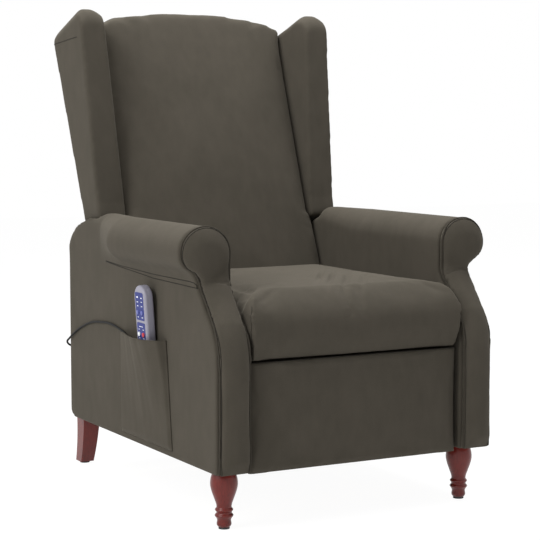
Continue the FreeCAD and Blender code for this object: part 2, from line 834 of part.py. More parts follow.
def motor_cup():
    """Cup opening along +Z, floor at the far end, with a bored boss."""
    cup = rod(V(0, 0, 0), V(0, 0, 1), motor_r, motor_deep)
    room = rod(V(0, 0, -overrun), V(0, 0, 1), motor_r - motor_wall, motor_deep - motor_wall + overrun)
    boss = rod(V(0, 0, motor_deep - motor_wall - boss_high), V(0, 0, 1), boss_r, boss_high)
    bore = rod(V(0, 0, 0), V(0, 0, 1), shaft_r + shaft_clear, motor_deep - motor_wall)
    return cup.cut(room).fuse(boss).removeSplitter().cut(bore)


def motor_rotor():
    """Half disc on a shaft that ends in the boss."""
    shaft_end = motor_deep - motor_wall - shaft_clear
    disc_low = motor_wall
    disc = rod(V(0, 0, disc_low), V(0, 0, 1), rotor_r, rotor_thick)
    disc = disc.common(block(-rotor_r, rotor_r, 0, rotor_r, disc_low, disc_low + rotor_thick))
    hub = rod(V(0, 0, disc_low), V(0, 0, 1), shaft_r + motor_wall, rotor_thick)
    shaft = rod(V(0, 0, shaft_end - shaft_long), V(0, 0, 1), shaft_r, shaft_long)
    return joined([disc, hub, shaft])


def motor_room():
    """Hollow in the foam for one motor."""
    return rod(V(0, 0, -overrun), V(0, 0, 1), motor_r + motor_fit, motor_deep + motor_fit + overrun)


cups = []
for side, name in ((-1, "r"), (1, "l")):
    place = V(side * seat_motor_x, seat_motor_y, seat_bottom)
    room = motor_room()
    room.translate(place)
    seat_cushion = seat_cushion.cut(room)
    cup = motor_cup()
    cup.translate(place)
    cups.append(cup)
    rotor = motor_rotor()
    rotor.translate(place)
    save("seat_rotor_" + name, rotor)
save("seat_motor_cups", Part.makeCompound(cups))
save("seat_cushion", seat_cushion)

# Back: cushion, webbing, frame and outside panel, laid out upright
back_top_half = back_half - back_taper
back_rise_mid = (back_bottom + back_top_side) * half_share
back_front_low = -back_crown * half_share
lip_low = back_rail_high + back_lip_drop
frame_front = back_cushion_rear + web_thick
frame_rear = frame_front + back_frame_deep
back_side_view = prism("yz", -back_half, back_half, (back_front_low, back_bottom),
                       [((-back_crown, back_rise_mid * half_share), (0, back_top_mid - back_top_round)),
                        ((back_top_round * quarter_share, back_top_mid - back_top_round * quarter_share),
                         (back_top_round, back_top_mid)),
                        (frame_rear, back_top_mid),
                        (frame_rear, lip_low),
                        (back_cushion_rear, lip_low),
                        (back_cushion_rear, back_bottom)])
back_front_view = prism("xz", -back_crown - overrun, frame_rear + overrun, (-back_half, back_bottom),
                        [(-back_half, back_waist),
                         (-back_top_half, wing_bottom),
                         (-back_top_half, back_top_side),
                         ((0, back_top_mid), (back_top_half, back_top_side)),
                         (back_top_half, wing_bottom),
                         (back_half, back_waist),
                         (back_half, back_bottom)])
back_plan = prism("xy", back_bottom - overrun, back_top_mid + overrun, (-back_half, frame_rear),
                  [(-back_half, back_edge_draw),
                   ((0, -back_crown), (back_half, back_edge_draw)),
                   (back_half, frame_rear)])
back_cushion = back_side_view.common(back_front_view).common(back_plan)

hinge_rel_y = hinge_y - crease_y
hinge_rel_z = hinge_z - crease_z
lean = math.radians(back_lean)
hinge_back_y = hinge_rel_y * math.cos(lean) - hinge_rel_z * math.sin(lean)
hinge_back_z = hinge_rel_y * math.sin(lean) + hinge_rel_z * math.cos(lean)

frame_half = outside_half - frame_draw
stile_x = frame_half - back_stile
frame_block = block(-frame_half, frame_half, frame_front, frame_rear, back_rail_low, back_rail_high)
frame_open = block(-stile_x, stile_x, frame_front - overrun, frame_rear + overrun,
                   back_rail_low + back_rail, back_rail_high - back_rail)
lumbar_rail = block(-stile_x, stile_x, frame_front, frame_rear,
                    strap_low + strap_step + strap_wide,
                    strap_low + strap_step + strap_wide + back_rail * half_share)
back_frame = joined([frame_block.cut(frame_open), lumbar_rail])
straps = []
for index in range(strap_count):
    low = strap_low + index * strap_step
    straps.append(block(-frame_half, frame_half, back_cushion_rear, frame_front, low, low + strap_wide))
back_webbing = Part.makeCompound(straps)
heat_room = block(-pad_half - motor_fit, pad_half + motor_fit, back_cushion_rear - pad_thick - motor_fit,
                  back_cushion_rear + overrun, pad_low - motor_fit, pad_low + pad_high + motor_fit)
heat_pad = block(-pad_half, pad_half, back_cushion_rear - pad_thick, back_cushion_rear,
                 pad_low, pad_low + pad_high)
back_cushion = back_cushion.cut(heat_room.common(block(-back_half, back_half, 0, back_cushion_rear,
                                                       back_bottom, back_rail_high)))

outside_rear = frame_rear + outside_thick
outside_back = prism("xy", outside_bottom, back_top_mid, (-outside_half, frame_rear),
                     [(outside_half, frame_rear), (outside_half, outside_rear),
                      ((0, outside_rear + outside_crown), (-outside_half, outside_rear))])
outside_arch = prism("xz", frame_rear - overrun, outside_rear + outside_crown + overrun,
                     (-outside_half, outside_bottom),
                     [(-outside_half, back_top_side - outside_drop),
                      ((0, back_top_mid - outside_drop), (outside_half, back_top_side - outside_drop)),
                      (outside_half, outside_bottom)])
outside_back = outside_back.common(outside_arch)

motor_spots = []
for side, across in ((-1, "r"), (1, "l")):
    for index, level in ((0, "low"), (strap_count - 1, "high")):
        height = strap_low + index * strap_step + strap_wide * half_share
        motor_spots.append((side * back_motor_x, height, level + "_" + across))
cups = []
for x, z, name in motor_spots:
    pieces = [motor_room(), motor_cup(), motor_rotor()]
    for piece in pieces:
        piece.rotate(V(0, 0, 0), V(1, 0, 0), 90)
        piece.translate(V(x, back_cushion_rear, z))
    wadding = block(-back_half, back_half, -back_crown, back_cushion_rear, back_bottom, back_top_side)
    back_cushion = back_cushion.cut(pieces[0].common(wadding))
    cups.append(pieces[1])
    save("back_rotor_" + name, leaned(pieces[2]))
save("back_motor_cups", leaned(Part.makeCompound(cups)))
save("back_cushion", leaned(back_cushion))
save("back_webbing", leaned(back_webbing))
save("heat_pad", leaned(heat_pad))
save("outside_back", leaned(outside_back))

# Hinge brackets: flat arms from the frame stiles down to the hinge pins
bracket_x1 = plate_inner - link_gap
bracket_x0 = bracket_x1 - bracket_thick
arm_high = back_rail_low + bracket_rise
bracket = prism("yz", bracket_x0, bracket_x1, (frame_front, back_rail_low),
                [(frame_front, arm_high), (frame_rear, arm_high), (frame_rear, back_rail_low + bracket_wide),
                 (hinge_back_y + hinge_eye_r, hinge_back_z + hinge_eye_r),
                 (hinge_back_y + hinge_eye_r, hinge_back_z),
                 ((hinge_back_y, hinge_back_z - hinge_eye_r), (hinge_back_y - hinge_eye_r, hinge_back_z)),
                 (frame_rear, back_rail_low)])
bore = rod(V(bracket_x0 - overrun, hinge_back_y, hinge_back_z), V(1, 0, 0), hinge_r + hinge_clear,
           bracket_thick + overrun + overrun)
bracket = bracket.cut(bore)
bracket_pair = both(bracket)
back_frame = back_frame.cut(bracket_pair)
save("hinge_brackets", leaned(bracket_pair))
save("back_frame", leaned(back_frame))

# Wings: side, plan and front views cut to each other, with a plywood core
nose = wing_nose * half_share
wing_side = prism("yz", wing_inner - overrun, wing_outer_high + overrun, (-wing_front_low, wing_bottom),
                  [(-wing_front_high, wing_front_high_z),
                   ((-wing_front_high + wing_nose * quarter_share * half_share, wing_top - nose * half_share),
                    (-wing_front_high + nose, wing_top)),
                   (wing_rear - wing_rear_round, wing_top),
                   ((wing_rear - wing_rear_round * quarter_share, wing_top - wing_rear_round * quarter_share),
                    (wing_rear, wing_top - wing_rear_round)),
                   (wing_rear, wing_bottom)])
wing_plan = prism("xy", wing_bottom - overrun, wing_top + overrun, (wing_inner, wing_rear),
                  [(wing_inner, 0),
                   (wing_flare, -wing_front_high - overrun),
                   (wing_outer_high + overrun, -wing_front_high - overrun),
                   (wing_outer_high + overrun, wing_rear)])
wing_front = prism("xz", -wing_front_high - overrun, wing_rear + overrun, (wing_inner - overrun, wing_bottom),
                   [(wing_inner - overrun, wing_top),
                    (wing_outer_high - wing_rear_round, wing_top),
                    ((wing_outer_high - wing_rear_round * quarter_share,
                      wing_top - wing_rear_round * quarter_share),
                     (wing_outer_high, wing_top - wing_rear_round)),
                    (wing_outer_low, wing_bottom)])
wing = wing_side.common(wing_plan).common(wing_front)
ply = prism("yz", wing_ply_x, wing_ply_x + wing_ply,
            (-wing_front_low + wing_ply_margin, wing_bottom),
            [(-wing_front_high + wing_ply_margin, wing_front_high_z - wing_ply_margin),
             (-wing_front_high + wing_ply_margin + wing_ply_margin, wing_top - wing_ply_margin),
             (wing_rear - wing_ply_margin, wing_top - wing_ply_margin),
             (wing_rear - wing_ply_margin, wing_bottom)])
wing = wing.cut(ply)
save("wing_l", leaned(wing.copy()))
save("wing_r", leaned(mirrored(wing)))
save("wing_boards", leaned(both(ply)))

# Side pocket on the sitter's right: a thin wedge open at the top, drawn flat at both ends

def pocket_body(inset, bottom):
    """Solid between the arm side and the pocket front, kept inset from the outer face."""
    out_low = arm_side_x + pocket_foot_out - inset
    out_high = arm_side_x + pocket_mouth_out - inset
    top = pocket_front_z + overrun
    lean_out = (out_high - out_low) * (top - pocket_mouth) / (pocket_mouth - pocket_bottom)
    wedge = prism("xz", pocket_front_low + inset, pocket_rear - inset, (-arm_side_x, bottom),
                  [(-out_low, bottom), (-out_high - lean_out, top), (-arm_side_x, top)])
    deep = out_high + lean_out
    grip = handset_wide * half_share + handset_gap
    plan = prism("xy", bottom - overrun, top + overrun, (-arm_side_x, pocket_front_low),
                 [(-out_low, pocket_front_low),
                  (-deep, handset_y - grip),
                  (-deep, handset_y + grip),
                  (-out_low, pocket_rear),
                  (-arm_side_x, pocket_rear)])
    return wedge.common(plan)


front_dip_y = (pocket_front_high + pocket_dip_y) * half_share
rear_dip_y = (pocket_rear + pocket_dip_y) * half_share
pocket_view = prism("yz", -arm_side_x - pocket_mouth_out - pocket_mouth_out, -arm_side_x,
                    (pocket_front_low, pocket_bottom),
                    [(pocket_front_high, pocket_front_z),
                     ((front_dip_y, (pocket_front_z + pocket_dip_z) * half_share - pocket_sag),
                      (pocket_dip_y, pocket_dip_z)),
                     ((rear_dip_y, (pocket_rear_z + pocket_dip_z) * half_share - pocket_sag),
                      (pocket_rear, pocket_rear_z)),
                     (pocket_rear, pocket_bottom)])
pocket = pocket_body(0, pocket_bottom).cut(pocket_body(pocket_wall, pocket_bottom + pocket_wall))
pocket = pocket.common(pocket_view)
save("side_pocket", pocket)

# Handset, laid out upright against its rear face and then leaned out of the pocket

def placed(shape):
    """A handset piece moved to its place in the pocket mouth."""
    shape.rotate(V(0, 0, 0), V(0, 1, 0), -handset_lean)
    shape.translate(V(-arm_side_x - handset_rest, handset_y, handset_foot_z))
    return shape


def edges_along_x(box):
    """Edges of a box that run across its face."""
    return [e for e in box.Edges if e.Vertexes[0].X != e.Vertexes[1].X]


half_wide = handset_wide * half_share
shell = block(-handset_thick, 0, -half_wide, half_wide, 0, handset_long)
shell = shell.makeFillet(handset_round, edges_along_x(shell))
hollow = block(-handset_thick + handset_skin, -handset_skin,
               -half_wide + handset_skin, half_wide - handset_skin,
               handset_skin, handset_long - handset_skin)
hollow = hollow.makeFillet(handset_round - handset_skin, edges_along_x(hollow))
split = -handset_thick * half_share


def film(low, high):
    """Printed film with round corners, sunk into the handset's face."""
    sheet = block(-handset_thick - overlay_thick + overlay_seat, -handset_thick + overlay_seat,
                  -half_wide + overlay_margin, half_wide - overlay_margin, low, high)
    return sheet.makeFillet(overlay_round, edges_along_x(sheet))


films = [film(overlay_low, overlay_split), film(overlay_split + overlay_gap, overlay_top)]
overlay = Part.makeCompound(films)
circuit = block(-handset_thick + circuit_gap, -handset_thick + circuit_gap + circuit_thick,
                -half_wide + handset_skin, half_wide - handset_skin,
                handset_round, handset_long - handset_round)
shell = shell.cut(hollow).cut(overlay)
front_half = block(-handset_thick - overrun, split, -handset_wide, handset_wide,
                   -overrun, handset_long + overrun)
keys = []
for row in range(key_rows):
    for side in (-1, 1):
        keys.append((side * key_step_y, key_first + row * key_step_z))
names = ["key_power", "key_heat", "key_mode", "key_timer"]
outer_face = -handset_thick - overlay_thick + overlay_seat
key_root = -handset_thick + circuit_gap - key_travel - key_clear
shell_front = shell.common(front_half)
for (y, z), name in zip(keys, names):
    bore = rod(V(outer_face - overrun, y, z), V(1, 0, 0), key_r + key_clear,
               overrun + handset_skin + overlay_thick)
    shell_front = shell_front.cut(bore)
    overlay = overlay.cut(bore)
    cap = rod(V(outer_face - key_high + key_travel, y, z), V(1, 0, 0), key_r,
              key_root - outer_face + key_high - key_travel)
    skirt_x = -handset_thick + handset_skin + key_clear
    skirt = rod(V(skirt_x, y, z), V(1, 0, 0), key_r + key_clear + key_clear + key_clear, key_root - skirt_x)
    save(name, placed(joined([cap, skirt])))
save("handset_front", placed(shell_front))
save("handset_rear", placed(shell.cut(front_half)))
save("handset_overlay", placed(overlay))
save("handset_circuit", placed(circuit))


def lead_path(route):
    """Straight runs joined by arcs, each corner with its own radius."""
    points = [V(x, y, z) for x, y, z, r in route]
    edges = []
    here = points[0]
    for index in range(1, len(route) - 1):
        corner = points[index]
        back_way = (points[index - 1] - corner).normalize()
        on_way = (points[index + 1] - corner).normalize()
        opening = back_way.getAngle(on_way) * half_share
        radius = route[index][3]
        tangent = radius / math.tan(opening)
        inward = (back_way + on_way).normalize()
        start = corner + back_way * tangent
        end = corner + on_way * tangent
        middle = corner + inward * (radius / math.sin(opening) - radius)
        edges.append(Part.makeLine(here, start))
        edges.append(Part.Arc(start, middle, end).toShape())
        here = end
    edges.append(Part.makeLine(here, points[-1]))
    return Part.Wire(edges)


lead_line = lead_path(lead_route)
lead_start = V(*lead_route[0][:3])
lead_ring = Part.Wire(Part.makeCircle(lead_r, lead_start, V(0, 0, -1)))
save("handset_lead", lead_line.makePipeShell([lead_ring], True, True))
print("lead length", round(lead_line.Length, 1))

# The origin lies on the floor under the middle of the whole chair
spans = [shape.BoundBox for shape in chair.values()]
middle_y = (min(box.YMin for box in spans) + max(box.YMax for box in spans)) * half_share
for name, shape in chair.items():
    centred = shape.copy()
    centred.translate(V(0, -middle_y, 0))
    centred.exportStep("parts/" + name + ".step")
print("moved to the rear by", round(-middle_y, 3))
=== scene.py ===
import math

import bmesh
import bpy
import numpy as np
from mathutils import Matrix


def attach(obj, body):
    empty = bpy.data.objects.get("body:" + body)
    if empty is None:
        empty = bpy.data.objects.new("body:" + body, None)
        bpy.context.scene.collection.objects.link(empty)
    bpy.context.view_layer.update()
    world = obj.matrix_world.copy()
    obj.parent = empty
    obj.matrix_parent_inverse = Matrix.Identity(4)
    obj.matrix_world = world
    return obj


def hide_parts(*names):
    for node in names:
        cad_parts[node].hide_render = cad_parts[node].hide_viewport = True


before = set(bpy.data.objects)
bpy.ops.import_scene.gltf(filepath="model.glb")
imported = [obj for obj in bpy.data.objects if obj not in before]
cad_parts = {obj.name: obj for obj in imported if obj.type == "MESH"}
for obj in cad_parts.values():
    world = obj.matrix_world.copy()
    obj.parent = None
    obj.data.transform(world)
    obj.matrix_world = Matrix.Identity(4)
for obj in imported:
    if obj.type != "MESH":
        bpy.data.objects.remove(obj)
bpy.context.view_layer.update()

# Set-out sizes in metres, in the part's own frame.
# X runs to the sitter's left, the chair faces -Y, Z is up, the floor is Z = 0.
REAR = 0.003904                     # the set-out moved to the rear, so the origin is under the middle
ARM_INNER, ARM_SIDE, ARM_OUTER = 0.245, 0.312, 0.350
ARM_FOOT, ARM_TOP, ROLL_NECK = 0.113, 0.584, 0.467
ARM_FRONT, SCROLL_FRONT = -0.428 + REAR, -0.343 + REAR
KNEE, KNEE_BEND, SCROLL_BEND, OGEE = 0.330, 0.100, 0.040, math.radians(40.0)
LEG_X, FRONT_LEG_Y = 0.274, -0.370 + REAR
CREASE = np.array([0.0, 0.140 + REAR, 0.449])
BACK_LEAN = math.radians(19.5)
POCKET_FRONT, POCKET_REAR = -0.219 + REAR, 0.030 + REAR
SIDE_FACE = -ARM_SIDE - 0.0004      # the arm's side cover, on which the pocket and the handset lie
HANDSET = np.array([SIDE_FACE, -0.125 + REAR, 0.305])
HANDSET_LEAN = math.radians(4.0)
HAND_LONG, HAND_HALF, HAND_THICK = 0.150, 0.027, 0.020
FILM_HALF, FILM_LOW, FILM_HIGH, FILM_FACE = 0.019, 0.038, 0.136, 0.0205
FILM_SPLIT, FILM_GAP = 0.074, 0.005
POCKET_FOOT, POCKET_RIM, POCKET_OPEN = 0.128, 0.342, 0.028
GRIP_FRONT, GRIP_REAR = -0.154 + REAR, -0.096 + REAR      # the stretch of the pocket round the handset
COVER_SIDE = ARM_INNER - 0.001                            # covers between the arms end this far out
SEAT_CORNER_X, SEAT_CORNER_Y = 0.2405, -0.417 + REAR
# Seat's upper edge seen from the side, from its lip to the rear: Y in the set-out, and Z
SEAT_EDGE_Y = (-0.427, -0.398, -0.350, -0.140, 0.108)
SEAT_EDGE_Z = (0.405, 0.446, 0.462, 0.469, 0.456)
# Tuck under the arm's roll: Y and Z of its two seams, which close up at both ends
TUCK_UPPER = ((-0.330, 0.4655), (-0.326, 0.4705), (-0.318, 0.4745), (-0.300, 0.4758), (-0.127, 0.476),
              (0.115, 0.484))
TUCK_LOWER = ((-0.328, 0.4650), (-0.127, 0.4675), (0.115, 0.483))
WING_SEAM = ((0.312, 0.412, 0.955), (0.312, 0.270, 0.9675))
STITCHES, STITCH_TOP, STITCH_FOOT, STITCH_SWING = 34, 0.441, 0.353, 0.0011
PIPING_RADIUS, SEAM_RADIUS, FINE_SEAM_RADIUS, STITCH_RADIUS = 0.0020, 0.0009, 0.0008, 0.0007
# Camera at the photograph's viewing angle: place in metres, angles in degrees, lens and sensor in mm
CAMERA_PLACE = (-1.71449, -3.21592, 0.79802)
CAMERA_PITCH, CAMERA_HEADING = 5.301, -28.408
CAMERA_LENS, CAMERA_SENSOR = 112.05, 36.0


# Finishes


def linear(code):
    """Linear colour of an sRGB hex code, by the two-part sRGB curve."""
    part = np.array([int(code[i:i + 2], 16) for i in (1, 3, 5)]) / 255
    part = np.where(part <= 0.04045, part / 12.92, ((part + 0.055) / 1.055) ** 2.4)
    return (*part.tolist(), 1.0)


def add_node(tree, kind, inputs=None, **settings):
    """Adds one node with its settings; each input is a value to set or an output to link."""
    added = tree.nodes.new(kind)
    for key, value in settings.items():
        setattr(added, key, value)
    for key, value in (inputs or {}).items():
        if isinstance(value, bpy.types.NodeSocket):
            tree.links.new(value, added.inputs[key])
        else:
            added.inputs[key].default_value = value
    return added


def new_finish(name, colour, rough, **sockets):
    """A material of one colour and roughness; other shader sockets are set by their names."""
    finish = bpy.data.materials.new(name)
    finish.use_nodes = True
    shader = finish.node_tree.nodes["Principled BSDF"]
    shader.inputs["Base Color"].default_value = linear(colour)
    shader.inputs["Roughness"].default_value = rough
    for key, value in sockets.items():
        shader.inputs[key.replace("_", " ")].default_value = value
    return finish


def brushed_nap(finish, low, high, grain_depth):
    """Nap of a suede cloth: hand-wide brushed clouds, finger-wide streaks and a fine grain.
    The real grain is under 0.3 mm and wouldn't show, so it is drawn 1.1 mm wide."""
    tree = finish.node_tree
    shader = tree.nodes["Principled BSDF"]
    place = add_node(tree, "ShaderNodeTexCoord").outputs["Object"]
    cloud = add_node(tree, "ShaderNodeTexNoise",
                     {"Vector": place, "Scale": 1 / 0.110, "Detail": 3.0, "Roughness": 0.55})
    drawn = add_node(tree, "ShaderNodeMapping", {"Vector": place, "Scale": (1.0, 1.0, 0.45)})
    streak = add_node(tree, "ShaderNodeTexNoise",
                      {"Vector": drawn.outputs["Vector"], "Scale": 1 / 0.022, "Detail": 2.0})
    grain = add_node(tree, "ShaderNodeTexNoise",
                     {"Vector": place, "Scale": 1 / 0.0011, "Detail": 1.0})
    brushed = add_node(tree, "ShaderNodeMath", {0: cloud.outputs["Fac"], 1: streak.outputs["Fac"]},
                       operation="ADD")
    worn = add_node(tree, "ShaderNodeMath", {0: brushed.outputs[0], 1: grain.outputs["Fac"]},
                    operation="ADD")
    range_ = add_node(tree, "ShaderNodeMapRange",
                      {"Value": worn.outputs[0], "From Min": 1.05, "From Max": 1.95})
    tone = add_node(tree, "ShaderNodeMix",
                    {"Factor": range_.outputs["Result"], 6: linear(low), 7: linear(high)},
                    data_type="RGBA")
    tree.links.new(tone.outputs[2], shader.inputs["Base Color"])
    bump = add_node(tree, "ShaderNodeBump",
                    {"Height": grain.outputs["Fac"], "Strength": 0.25, "Distance": grain_depth})
    tree.links.new(bump.outputs["Normal"], shader.inputs["Normal"])
    return finish


# Polyester microfibre, woven and sueded: no gloss, a soft pale bloom at glancing angles
MICROFIBRE = brushed_nap(
    new_finish("microfibre_sueded", "#49453d", 0.95, Specular_IOR_Level=0.15, Sheen_Weight=0.16,
               Sheen_Roughness=0.45, Sheen_Tint=linear("#b5aea0")),
    "#423e36", "#4b463e", 0.0004)
# The same cloth on its piping, drawn tight over the cord; its colour is darker than the cloth as painted
# shade of the creases along both its sides
PIPING_CREASE_SHADED = new_finish("microfibre_piping_painted_shade", "#3a362f", 0.9, Specular_IOR_Level=0.15)
# Spun polyester sewing thread, matt; drawn near black, so the seams also carry painted shade of their
# grooves
THREAD_AND_CREASE_SHADE = new_finish("polyester_thread_painted_shade", "#26231e", 0.8, Specular_IOR_Level=0.2)
# Beech, turned, stained mahogany red and lacquered: a soft gloss over a fine long grain
MAHOGANY = new_finish("beech_mahogany_lacquer", "#70271f", 0.38, Specular_IOR_Level=0.3, Coat_Weight=0.22,
                      Coat_Roughness=0.12)
# Moulded ABS, lavender grey: even, half matt
ABS_GREY = new_finish("abs_lavender_grey", "#8e8c99", 0.45, Specular_IOR_Level=0.45)
# Printed polycarbonate film: even blue, half matt
FILM_BLUE = new_finish("polycarbonate_film_blue", "#333b78", 0.5, Specular_IOR_Level=0.2)
# Screen printing ink on the film: even white
PRINT_WHITE = new_finish("screen_print_white", "#e8e9ee", 0.5)
# Silicone rubber keys: soft and even
KEY_RED = new_finish("silicone_red", "#c8323c", 0.5)
KEY_WHITE = new_finish("silicone_white", "#eceef2", 0.5)
# Clear silicone keys over the blue film: a paler blue
KEY_CLEAR = new_finish("silicone_clear", "#5a61a0", 0.5)
# Flexible PVC sheath of the lead: black, half matt
PVC_BLACK = new_finish("pvc_black", "#0c0c0b", 0.6, Specular_IOR_Level=0.25)
# Birch plywood and pine of the hidden frame: pale, matt
FRAME_WOOD = new_finish("birch_plywood", "#c7a873", 0.7)
# Elastic upholstery webbing: black woven rubber and polypropylene
WEBBING = new_finish("elastic_webbing", "#2a2a2b", 0.85)
# Powder coated steel of the linkage: black, fine satin
STEEL_BLACK = new_finish("steel_powder_black", "#242527", 0.45, Metallic=0.0)
# Zinc plated steel of pins, bolts and glides: bright grey metal
STEEL_ZINC = new_finish("steel_zinc", "#b9bcc0", 0.35, Metallic=1.0)
# Turned steel of the motor weights: grey metal, fine satin
STEEL_ROTOR = new_finish("steel_turned", "#8d9095", 0.4, Metallic=1.0)
# Moulded nylon of cups, tracks and boxes: black, half matt
NYLON_BLACK = new_finish("nylon_black", "#1d1d1f", 0.55)
# Needle felt round the heating wire: pale grey, matt
FELT = new_finish("needle_felt", "#b9b2a4", 0.95)
# Glass fibre circuit board under its solder mask: green, half gloss
CIRCUIT = new_finish("circuit_board_green", "#23633f", 0.4)


def lacquered_grain(finish):
    """Long grain of the turned beech: streaks 2.5 mm wide, drawn out along the leg."""
    tree = finish.node_tree
    place = add_node(tree, "ShaderNodeTexCoord").outputs["Object"]
    along = add_node(tree, "ShaderNodeMapping", {"Vector": place, "Scale": (1.0, 1.0, 0.08)})
    streak = add_node(tree, "ShaderNodeTexNoise",
                      {"Vector": along.outputs["Vector"], "Scale": 1 / 0.0025, "Detail": 3.0})
    tone = add_node(tree, "ShaderNodeMix",
                    {"Factor": streak.outputs["Fac"], 6: linear("#4e120d"), 7: linear("#782219")},
                    data_type="RGBA")
    tree.links.new(tone.outputs[2], tree.nodes["Principled BSDF"].inputs["Base Color"])


lacquered_grain(MAHOGANY)


# Meshes


def new_piece(name, points, faces, finish, body, smooth=True):
    """A mesh of points and faces as one piece that rides on a body."""
    mesh = bpy.data.meshes.new(name)
    mesh.from_pydata(np.asarray(points, float).reshape(-1, 3).tolist(), [], faces)
    mesh.polygons.foreach_set("use_smooth", [smooth] * len(mesh.polygons))
    mesh.materials.append(finish)
    mesh.update()
    piece = bpy.data.objects.new(name, mesh)
    bpy.context.collection.objects.link(piece)
    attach(piece, body)
    return piece


def grid_faces(rows, columns, round_rows=False, round_columns=False):
    """Quads of a grid of points numbered row by row, joined round where asked."""
    last_row = rows if round_rows else rows - 1
    last_column = columns if round_columns else columns - 1
    i, j = np.meshgrid(np.arange(last_row), np.arange(last_column), indexing="ij")
    down, right = (i + 1) % rows, (j + 1) % columns
    quads = np.stack([i * columns + j, i * columns + right, down * columns + right, down * columns + j], -1)
    return quads.reshape(-1, 4).tolist()


def tube_faces(rows, columns):
    """Quads of a tube of rings, and one face over each end."""
    last = (rows - 1) * columns
    ends = [list(range(columns))[::-1], list(range(last, last + columns))]
    return grid_faces(rows, columns, round_columns=True) + ends


BOX_FACES = np.array(((0, 1, 2, 3), (7, 6, 5, 4), (0, 4, 5, 1), (1, 5, 6, 2), (2, 6, 7, 3), (3, 7, 4, 0)))


def turn_out(piece):
    """Turns all faces of a closed mesh outwards."""
    shell = bmesh.new()
    shell.from_mesh(piece.data)
    bmesh.ops.remove_doubles(shell, verts=shell.verts, dist=1e-6)
    bmesh.ops.recalc_face_normals(shell, faces=shell.faces)
    shell.to_mesh(piece.data)
    shell.free()


def carried_ring(line, radius, across, count):
    """A ring carried along a line: each ring lies in the plane of the line's sideways direction,
    across made square to the line, and of the direction square to both."""
    line = np.asarray(line, float)
    ahead = np.gradient(line, axis=0)
    ahead /= np.linalg.norm(ahead, axis=1, keepdims=True)
    across = np.broadcast_to(np.asarray(across, float), line.shape)
    side = across - (across * ahead).sum(1, keepdims=True) * ahead
    side /= np.linalg.norm(side, axis=1, keepdims=True)
    rise = np.cross(ahead, side)
    turn = np.arange(count) * 2 * math.pi / count
    ring = np.cos(turn)[None, :, None] * side[:, None] + np.sin(turn)[None, :, None] * rise[:, None]
    return line[:, None] + ring * radius, tube_faces(len(line), count)


def even(line, step):
    """The same line with points at even steps of its length."""
    line = np.asarray(line, float)
    run = np.concatenate([[0], np.cumsum(np.linalg.norm(np.diff(line, axis=0), axis=1))])
    at = np.linspace(0, run[-1], max(2, int(run[-1] / step) + 1))
    return np.stack([np.interp(at, run, line[:, k]) for k in range(line.shape[1])], 1)


def arc(centre, radius, start, end, count=24):
    """Points on a circle between two angles in degrees."""
    turn = np.radians(np.linspace(start, end, count))
    return np.stack([centre[0] + radius * np.cos(turn), centre[1] + radius * np.sin(turn)], 1)


def soft_step(value):
    """The eased step: 0 below 0, 1 above 1 and the cubic 3v^2 - 2v^3 between. It is called with
    (place - start) / width, or (end - place) / width where it falls."""
    value = np.clip(value, 0, 1)
    return value * value * (3 - 2 * value)


def turned_about_x(points, angle):
    """Points turned about the X axis by the plane rotation of Y and Z."""
    c, s = math.cos(angle), math.sin(angle)
    y, z = points[..., 1], points[..., 2]
    return np.stack([points[..., 0], c * y - s * z, s * y + c * z], -1)


def leaned(points):
    """Points of the upright back turned back by its lean and set on the seat crease."""
    return turned_about_x(np.asarray(points, float), -BACK_LEAN) + CREASE


def upright(points):
    """The reverse of leaned: points of the back in its upright set-out."""
    return turned_about_x(np.asarray(points, float) - CREASE, BACK_LEAN)


# Padded pieces


def read_points(piece):
    """A mesh's points and its point normals as arrays."""
    mesh = piece.data
    points = np.empty(len(mesh.vertices) * 3)
    mesh.vertices.foreach_get("co", points)
    normals = np.empty(len(mesh.vertices) * 3)
    mesh.vertex_normals.foreach_get("vector", normals)
    return points.reshape(-1, 3), normals.reshape(-1, 3)


def write_points(piece, points):
    """Puts an array of points back into a mesh."""
    piece.data.vertices.foreach_set("co", points.ravel())
    piece.data.update()


def bake_modifiers(piece):
    """Keeps the shape that a piece's modifiers give and takes the modifiers away."""
    shaped = piece.evaluated_get(bpy.context.evaluated_depsgraph_get())
    mesh = bpy.data.meshes.new_from_object(shaped)
    piece.modifiers.clear()
    old = piece.data
    piece.data = mesh
    bpy.data.meshes.remove(old)


